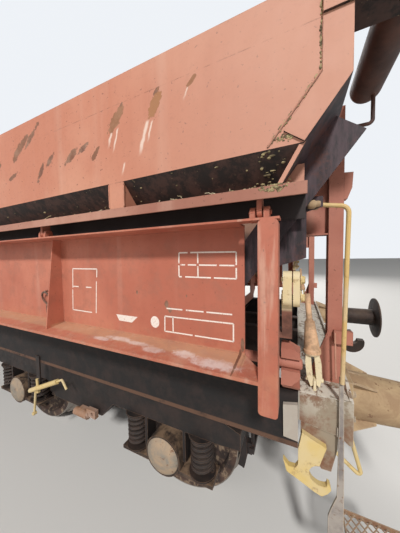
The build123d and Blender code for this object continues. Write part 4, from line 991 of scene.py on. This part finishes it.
class WAGON_OT_small_parts(Operator):
    """Tie rings, struts, buffer fins, lichen, dry stalks and coupling links"""
    bl_idname = "wagon.small_parts"
    bl_label = "Small parts"

    def execute(self, context):
        self.tie_rings()
        self.struts()
        self.fins()
        self.crumbs()
        self.curls()
        self.couplings()
        return {"FINISHED"}

    def tie_rings(self):
        """A ring with its eye and a hanging pin on each door."""
        for side, end, place in door_places():
            bm = bmesh.new()
            x, y, z = end * 3.812, side * (DOOR_Y + 0.018), 1.556
            ring = arc((x, y, z), 0.044, 0, 360, 28, ((1, 0, 0), (0, 0.25 * side, 1)))
            add_tube(bm, ring[:-1], 0.0065, 8, closed=True)
            add_tube(bm, [(x + end * 0.004, y, z - 0.048), (x + end * 0.006, y, z - 0.105)], 0.006, 8)
            bends = ((0, 0.048), (0.024, 0.050), (0.026, 0.036))
            add_tube(bm, [(x, side * (DOOR_Y + out), z + up) for out, up in bends], 0.006, 8)
            piece_from(f"tie_ring_{place}", bm, "ring", f"door_{place}")

    def struts(self):
        """Bars from the shelf's edge to the wall's foot, and a rod that hangs from each end post."""
        bm = bmesh.new()
        for side, end in corners():
            y = side * (SIDE_Y - 0.018)
            foot = Vector((end * 5.368, y, SHELF_Z + 0.003))
            add_strip(bm, foot, Vector((end * 5.438, y, WALL_FOOT_Z + 0.005)), 0.030, 0.014)
            hook = Vector((end * 5.589, side * (POST_Y + 0.020), 1.455))
            add_strip(bm, hook, hook + Vector((end * 0.007, 0, -0.225)), 0.011, 0.006)
        piece_from("corner_struts", bm, "wall", "wagon_body")

    def fins(self):
        """Triangular fins on the diagonals of the buffer casings."""
        bm = bmesh.new()
        for side, end in corners():
            for angle in (45, 135, 225, 315):
                out = Vector((0, math.cos(math.radians(angle)), math.sin(math.radians(angle))))
                aside = Vector((0, -out.z, out.y)) * 0.0045
                at = Vector((end * (HEADSTOCK_X + 0.018), side * BUFFER_Y, BUFFER_Z))
                outline = [at + Vector((end * along, 0, 0)) + out * reach for along, reach in
                           ((0, 0.08), (0, 0.166), (0.012, 0.168), (0.106, 0.122), (0.112, 0.08))]
                add_plate(bm, [point + aside for point in outline], [point - aside for point in outline])
        piece_from("buffer_fins", bm, "casing", "wagon_body", 20)

    def curls(self):
        """Dry stalks caught on the shelf."""
        rng = random.Random(23)
        bm = bmesh.new()
        for side in SIDES:
            for i in range(70):
                x = rng.uniform(4.0, 5.3) if i % 3 else rng.uniform(-5.3, 5.3)
                x *= -side
                heading = rng.uniform(0, math.tau)
                spot = Vector((x, side * rng.uniform(1.345, 1.43), SHELF_Z + 0.008))
                points = []
                for _ in range(rng.randint(5, 9)):
                    points.append(spot)
                    heading += rng.uniform(-0.9, 0.9)
                    aside = math.sin(heading)
                    spot = spot + Vector((math.cos(heading), 0.25 * aside, 0.5 * aside)) * 0.009
                    spot.z = max(spot.z, SHELF_Z + 0.004)
                    spot.y = side * min(max(abs(spot.y), 1.345), 1.44)
                add_tube(bm, points, rng.uniform(0.0009, 0.0018), 4)
        piece_from("dry_stalks", bm, "stalk", "wagon_body", 80)

    def crumbs(self):
        """Lichen on the trough, thick near its ends, and along the cut edges of the side walls."""
        rng = random.Random(5)
        noise.seed_set(5)
        bm = bmesh.new()
        slope = Vector((0, SIDE_Y - SLOPE_FOOT_Y, WALL_FOOT_Z - SHELF_Z))
        for side in SIDES:
            for i in range(600):
                x = rng.uniform(-5.40, 5.40)
                if i % 3 == 0:
                    x = math.copysign(5.335 + rng.gauss(0, 0.03), x)
                along = rng.random() ** 2.2
                size = rng.uniform(0.002, 0.0065)
                spot = Vector((x, SLOPE_FOOT_Y, SHELF_Z)) + slope * along * 0.95
                spot.y = side * (spot.y + 0.001)
                if rng.random() < 0.4:
                    y = side * rng.uniform(SLOPE_FOOT_Y + 0.01, SIDE_Y - 0.004)
                    spot = Vector((x, y, SHELF_Z + size * 0.3))
                turn = Matrix.Rotation(rng.uniform(0, 6), 4, "X")
                shape = (rng.uniform(0.7, 2.4), rng.uniform(0.6, 1.1), rng.uniform(0.5, 1.1))
                self.add_crumb(bm, Matrix.Translation(spot) @ turn, shape, size)
        for side, end in corners():
            edge = ((5.487, 2.600), (5.487, 2.385), (5.335, 2.195))
            for (x0, z0), (x1, z1) in zip(edge, edge[1:]):
                for _ in range(90):
                    along = rng.random()
                    x = x0 + (x1 - x0) * along + rng.uniform(-0.006, 0.004)
                    z = z0 + (z1 - z0) * along + rng.uniform(-0.003, 0.003)
                    place = Matrix.Translation((end * x, side * (SIDE_Y + 0.001), z))
                    self.add_crumb(bm, place, (1, 0.5, rng.uniform(0.7, 2.0)), rng.uniform(0.0015, 0.0045))
            for at_x, at_y, at_z, count in CRUMB_HEAPS:
                for _ in range(count):
                    spot = Vector((end * (at_x + rng.gauss(0, 0.022)), side * at_y, at_z))
                    if at_y < SIDE_Y:
                        spot.y += side * rng.uniform(-0.03, 0.045)
                    else:
                        spot.z += rng.gauss(0, 0.006)
                    place = Matrix.Translation(spot)
                    self.add_crumb(bm, place, (1, 0.7, rng.uniform(0.5, 1.1)), rng.uniform(0.002, 0.0055))
        for vert in bm.verts:
            vert.co += noise.noise_vector(vert.co * 90) * 0.0012
        piece_from("lichen_crumbs", bm, "lichen", "wagon_body", 80)

    def add_crumb(self, bm, place, shape, size):
        place = place @ Matrix.Diagonal((*shape, 1))
        bmesh.ops.create_icosphere(bm, subdivisions=1, radius=size, matrix=place)

    def couplings(self):
        """Bent links, threaded screw and its lever, for the plain bars of the CAD."""
        bm = bmesh.new()
        knob = [(0.0, 0.012), (0.022, 0.010), (0.030, 0.0), (0.030, -0.014), (0.018, -0.02)]
        collar = [(0.018, -0.018), (0.034, -0.016), (0.036, 0.0), (0.034, 0.016), (0.018, 0.018)]
        thread = [(0.0, 0.0036), (0.019, 0.003), (0.0225, 0.0), (0.019, -0.003), (0.0, -0.0036)]
        hub = [(0.0, 0.03), (0.03, 0.026), (0.034, 0.0), (0.03, -0.026), (0.0, -0.03)]
        z = BUFFER_Z
        nut, lower_nut, bend, lever = z - 0.23, z - 0.42, z - 0.56, z - 0.325
        for _, end in ENDS:
            x = end * (HEADSTOCK_X + 0.095)
            add_tube(bm, [(x, -0.082, z), (x, 0.082, z)], 0.02, 12)
            for side in SIDES:
                y = side * 0.055
                add_turned(bm, knob, (x, side * 0.082, z), (0, side, 0), 20)
                add_tube(bm, [(x, y, z), (x, y, nut)], 0.0155, 12)
                for height in (z, nut):
                    add_turned(bm, collar, (x, y, height), (0, 1, 0), 20)
            lower = [(x, -0.055, lower_nut), (x, -0.055, bend)]
            lower += arc((x, 0, bend), 0.055, 180, 360, 12, ((0, 1, 0), (0, 0, 1)))
            add_tube(bm, lower + [(x, 0.055, lower_nut)], 0.0155, 12)
            for height in (nut, lower_nut):
                add_tube(bm, [(x, -0.085, height), (x, 0.085, height)], 0.018, 12)
                add_box(bm, (x - 0.028, -0.038, height - 0.028), (x + 0.028, 0.038, height + 0.028), 0.006)
            for i in range(38):
                if abs(i - 19) > 3:
                    add_turned(bm, thread, (x, 0, z - 0.19 - i * 0.0074), (0, 0, 1), 14)
            add_turned(bm, hub, (x, 0, lever), (0, 0, 1), 20)
            add_tube(bm, [(x, 0, lever), (x, 0.16, z - 0.36), (x, 0.22, z - 0.43)], 0.011, 10)
            bmesh.ops.create_uvsphere(bm, u_segments=16, v_segments=10, radius=0.026,
                                      matrix=Matrix.Translation((x, 0.22, z - 0.44)))
        piece = piece_from("screw_coupling_links", bm, "steel", "wagon_body")
        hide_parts("screw_couplings")


class WAGON_OT_rails(Operator):
    """Corner grab rails with their hangers and mesh steps, for the plain ones of the CAD"""
    bl_idname = "wagon.rails"
    bl_label = "Rails and steps"

    def execute(self, context):
        rails, hangers, mesh, knuckles = (bmesh.new() for _ in range(4))
        for side, end in corners():
            path = ((end * RAIL_ROOT_X, side * 1.195, RAIL_TOP_Z),
                    (end * 5.606, side * 1.195, RAIL_TOP_Z - 0.018), (end * 5.601, side * 1.1485, 1.275))
            add_tube(rails, rounded(path, 0.03), 0.0088, 14)
            self.add_knuckle(knuckles, side, end)
            self.add_hanger(hangers, side, end)
            self.add_step(mesh, side, end)
        piece = piece_from("grab_rails", rails, "rail", "wagon_body")
        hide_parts("handrails")
        piece_from("rail_hangers", hangers, "step", "wagon_body")
        piece_from("rail_knuckles", knuckles, "casing", "wagon_body")
        piece_from("mesh_steps", mesh, "mesh", "wagon_body")
        return {"FINISHED"}

    def add_knuckle(self, bm, side, end):
        """Turned boss at the rail's root, and the lump beside it."""
        boss = [(0.0, -0.002), (0.019, 0.0), (0.021, 0.01), (0.013, 0.016), (0.013, 0.036), (0.020, 0.042),
                (0.020, 0.062), (0.012, 0.068), (0.0, 0.069)]
        add_turned(bm, boss, (end * RAIL_ROOT_X, side * 1.244, RAIL_TOP_Z), (0, -side, 0), 18)
        lump = [(0.0, 0.0), (0.011, 0.001), (0.016, 0.006), (0.0175, 0.014), (0.0165, 0.024), (0.012, 0.030),
                (0.0125, 0.038), (0.010, 0.045), (0.0, 0.046)]
        add_turned(bm, lump, (end * 5.457, side * 1.263, RAIL_TOP_Z - 0.012), (end, 0, 0), 18)

    def add_hanger(self, bm, side, end):
        """Flat bar that widens toward the step, with the lug that holds it to the beam."""
        outline = ((5.592, 1.295), (5.609, 1.297), (5.612, 1.02), (5.615, 0.77), (5.617, STEP_Z - 0.026),
                   (5.556, STEP_Z - 0.026), (5.556, 0.640), (5.567, 0.680), (5.589, 0.745), (5.593, 1.02))
        front, back = ([(end * x, side * y, z) for x, z in outline] for y in (1.140, 1.130))
        add_plate(bm, front, back)
        xs, ys = sorted((end * 5.587, end * 5.612)), sorted((side * 1.118, side * 1.131))
        add_box(bm, (xs[0], ys[0], 1.02), (xs[1], ys[1], 1.06))

    def add_step(self, bm, side, end):
        """Frame of flat bars filled with expanded mesh."""
        x0, x1, y0, y1 = 5.655, 5.955, 0.880, 1.139

        def at(x, y):
            return Vector((end * x, side * y, STEP_Z - 0.013))

        ring = (at(x0, y1), at(x0, y0), at(x1, y0), at(x1, y1), at(5.600, y1))
        for start, stop in zip(ring, ring[1:]):
            pad = (stop - start).normalized() * 0.002
            add_strip(bm, start - pad, stop + pad, 0.004, 0.026)
        long_way, short_way = 0.036, 0.0236
        rows = int((y1 - y0) / short_way)
        for row in range(rows):
            middle = y0 + (row + 0.5) * (y1 - y0) / rows
            for cell in range(int((x1 - x0) / long_way * 2)):
                rise = short_way * 0.46 if (row + cell) % 2 else -short_way * 0.46
                x = x0 + cell * long_way / 2
                add_strip(bm, at(x, middle - rise), at(x + long_way / 2, middle + rise), 0.0042, 0.006)


class WAGON_OT_stage(Operator):
    """Pale floor, soft studio light and the camera"""
    bl_idname = "wagon.stage"
    bl_label = "Stage"

    def execute(self, context):
        stage = context.scene.wagon_stage
        scene = context.scene
        for name in ("Cube", "Light", "Camera"):
            if name in bpy.data.objects:
                bpy.data.objects.remove(bpy.data.objects[name])
        self.floor(scene, stage)
        self.lights(scene, stage)
        self.camera(scene)
        scene.view_settings.view_transform = "Standard"
        return {"FINISHED"}

    def floor(self, scene, stage):
        bm = bmesh.new()
        bmesh.ops.create_grid(bm, x_segments=1, y_segments=1, size=120)
        mesh = bpy.data.meshes.new("studio_floor")
        bm.to_mesh(mesh)
        bm.free()
        floor = bpy.data.objects.new("studio_floor", mesh)
        scene.collection.objects.link(floor)
        mesh.materials.append(Finish("studio_floor").finish(tuple(stage.floor_colour), 0.9))

    def lights(self, scene, stage):
        """Even light from all round behind a pale backdrop, and three soft lamps."""
        world = bpy.data.worlds.new("studio")
        scene.world = world
        world.use_nodes = True
        tree = world.node_tree
        tree.nodes.clear()
        rays = tree.nodes.new("ShaderNodeLightPath")
        seen = rays.outputs["Is Camera Ray"]
        for other in ("Is Glossy Ray", "Is Transmission Ray"):
            either = tree.nodes.new("ShaderNodeMath")
            either.operation = "MAXIMUM"
            tree.links.new(seen, either.inputs[0])
            tree.links.new(rays.outputs[other], either.inputs[1])
            seen = either.outputs[0]
        mix = tree.nodes.new("ShaderNodeMixShader")
        tree.links.new(seen, mix.inputs[0])
        skies = (((0.96, 0.98, 1.0, 1), stage.sky_strength), ((0.86, 0.89, 0.93, 1), 1.0))
        for socket, (colour, strength) in zip(mix.inputs[1:], skies):
            sky = tree.nodes.new("ShaderNodeBackground")
            sky.inputs["Color"].default_value = colour
            sky.inputs["Strength"].default_value = strength
            tree.links.new(sky.outputs[0], socket)
        out = tree.nodes.new("ShaderNodeOutputWorld")
        tree.links.new(mix.outputs[0], out.inputs["Surface"])
        # Name, place, aimed at, share of the key's power, size
        lamps = (
            ("key", (12.3, -23.0, 20.5), (3.5, -1.0, 1.5), 1.0, 3.2),
            ("fill", (-9.0, -16.0, 7.0), (-1.0, 0.0, 1.4), 0.08, 9.0),
            ("back", (2.0, 16.0, 11.0), (0.0, 0.0, 1.5), 0.25, 8.0),
        )
        for name, place, aim, share, size in lamps:
            data = bpy.data.lights.new(name, "AREA")
            data.energy = stage.key_power * share
            data.shape = "DISK"
            data.size = size
            lamp = bpy.data.objects.new(name, data)
            lamp.location = place
            lamp.rotation_euler = (Vector(aim) - Vector(place)).to_track_quat("-Z", "Y").to_euler()
            scene.collection.objects.link(lamp)

    def camera(self, scene):
        """Camera of the photo: wide lens, close to the wagon's near corner."""
        yaw, pitch, roll = math.radians(24.8), math.radians(2.59), math.radians(0.86)
        focal, height = 210.0, 533.0
        data = bpy.data.cameras.new("camera")
        data.sensor_width = 36.0
        data.lens = data.sensor_width * focal / height
        data.clip_start = 0.01
        data.clip_end = 500.0
        camera = bpy.data.objects.new("camera", data)
        level, plumb = Vector((-math.sin(yaw), math.cos(yaw), 0)), Vector((0, 0, -1))
        forward = level * math.cos(pitch) + plumb * math.sin(pitch)
        down = plumb * math.cos(pitch) - level * math.sin(pitch)
        right = Vector((math.cos(yaw), math.sin(yaw), 0))
        across = right * math.cos(roll) + down * math.sin(roll)
        below = down * math.cos(roll) - right * math.sin(roll)
        turn = Matrix((across, -below, -forward)).transposed()
        camera.matrix_world = Matrix.Translation((5.421, -2.20, 1.830)) @ turn.to_4x4()
        scene.collection.objects.link(camera)
        scene.camera = camera


OPERATORS = (WAGON_OT_finishes, WAGON_OT_springs, WAGON_OT_axle_boxes, WAGON_OT_welds, WAGON_OT_fasteners,
             WAGON_OT_markings, WAGON_OT_small_parts, WAGON_OT_rails, WAGON_OT_stage)


class WAGON_PT_panel(Panel):
    """Lists the wagon's settings and steps"""
    bl_idname = "WAGON_PT_panel"
    bl_label = "Hopper wagon"
    bl_space_type = "VIEW_3D"
    bl_region_type = "UI"
    bl_category = "Wagon"

    def draw(self, context):
        scene = context.scene
        for group in (scene.wagon_paint, scene.wagon_sizes, scene.wagon_stage):
            box = self.layout.box()
            for name in group.__annotations__:
                box.prop(group, name)
        for operator in OPERATORS:
            self.layout.operator(operator.bl_idname)


CLASSES = (WagonPaint, WagonSizes, WagonStage) + OPERATORS + (WAGON_PT_panel,)


def register():
    for new in CLASSES:
        bpy.utils.register_class(new)
    bpy.types.Scene.wagon_paint = PointerProperty(type=WagonPaint)
    bpy.types.Scene.wagon_sizes = PointerProperty(type=WagonSizes)
    bpy.types.Scene.wagon_stage = PointerProperty(type=WagonStage)


def unregister():
    del bpy.types.Scene.wagon_stage
    del bpy.types.Scene.wagon_sizes
    del bpy.types.Scene.wagon_paint
    for old in reversed(CLASSES):
        bpy.utils.unregister_class(old)


def main():
    register()
    for operator in OPERATORS:
        group, name = operator.bl_idname.split(".")
        getattr(getattr(bpy.ops, group), name)()


if __name__ == "__main__":
    main()
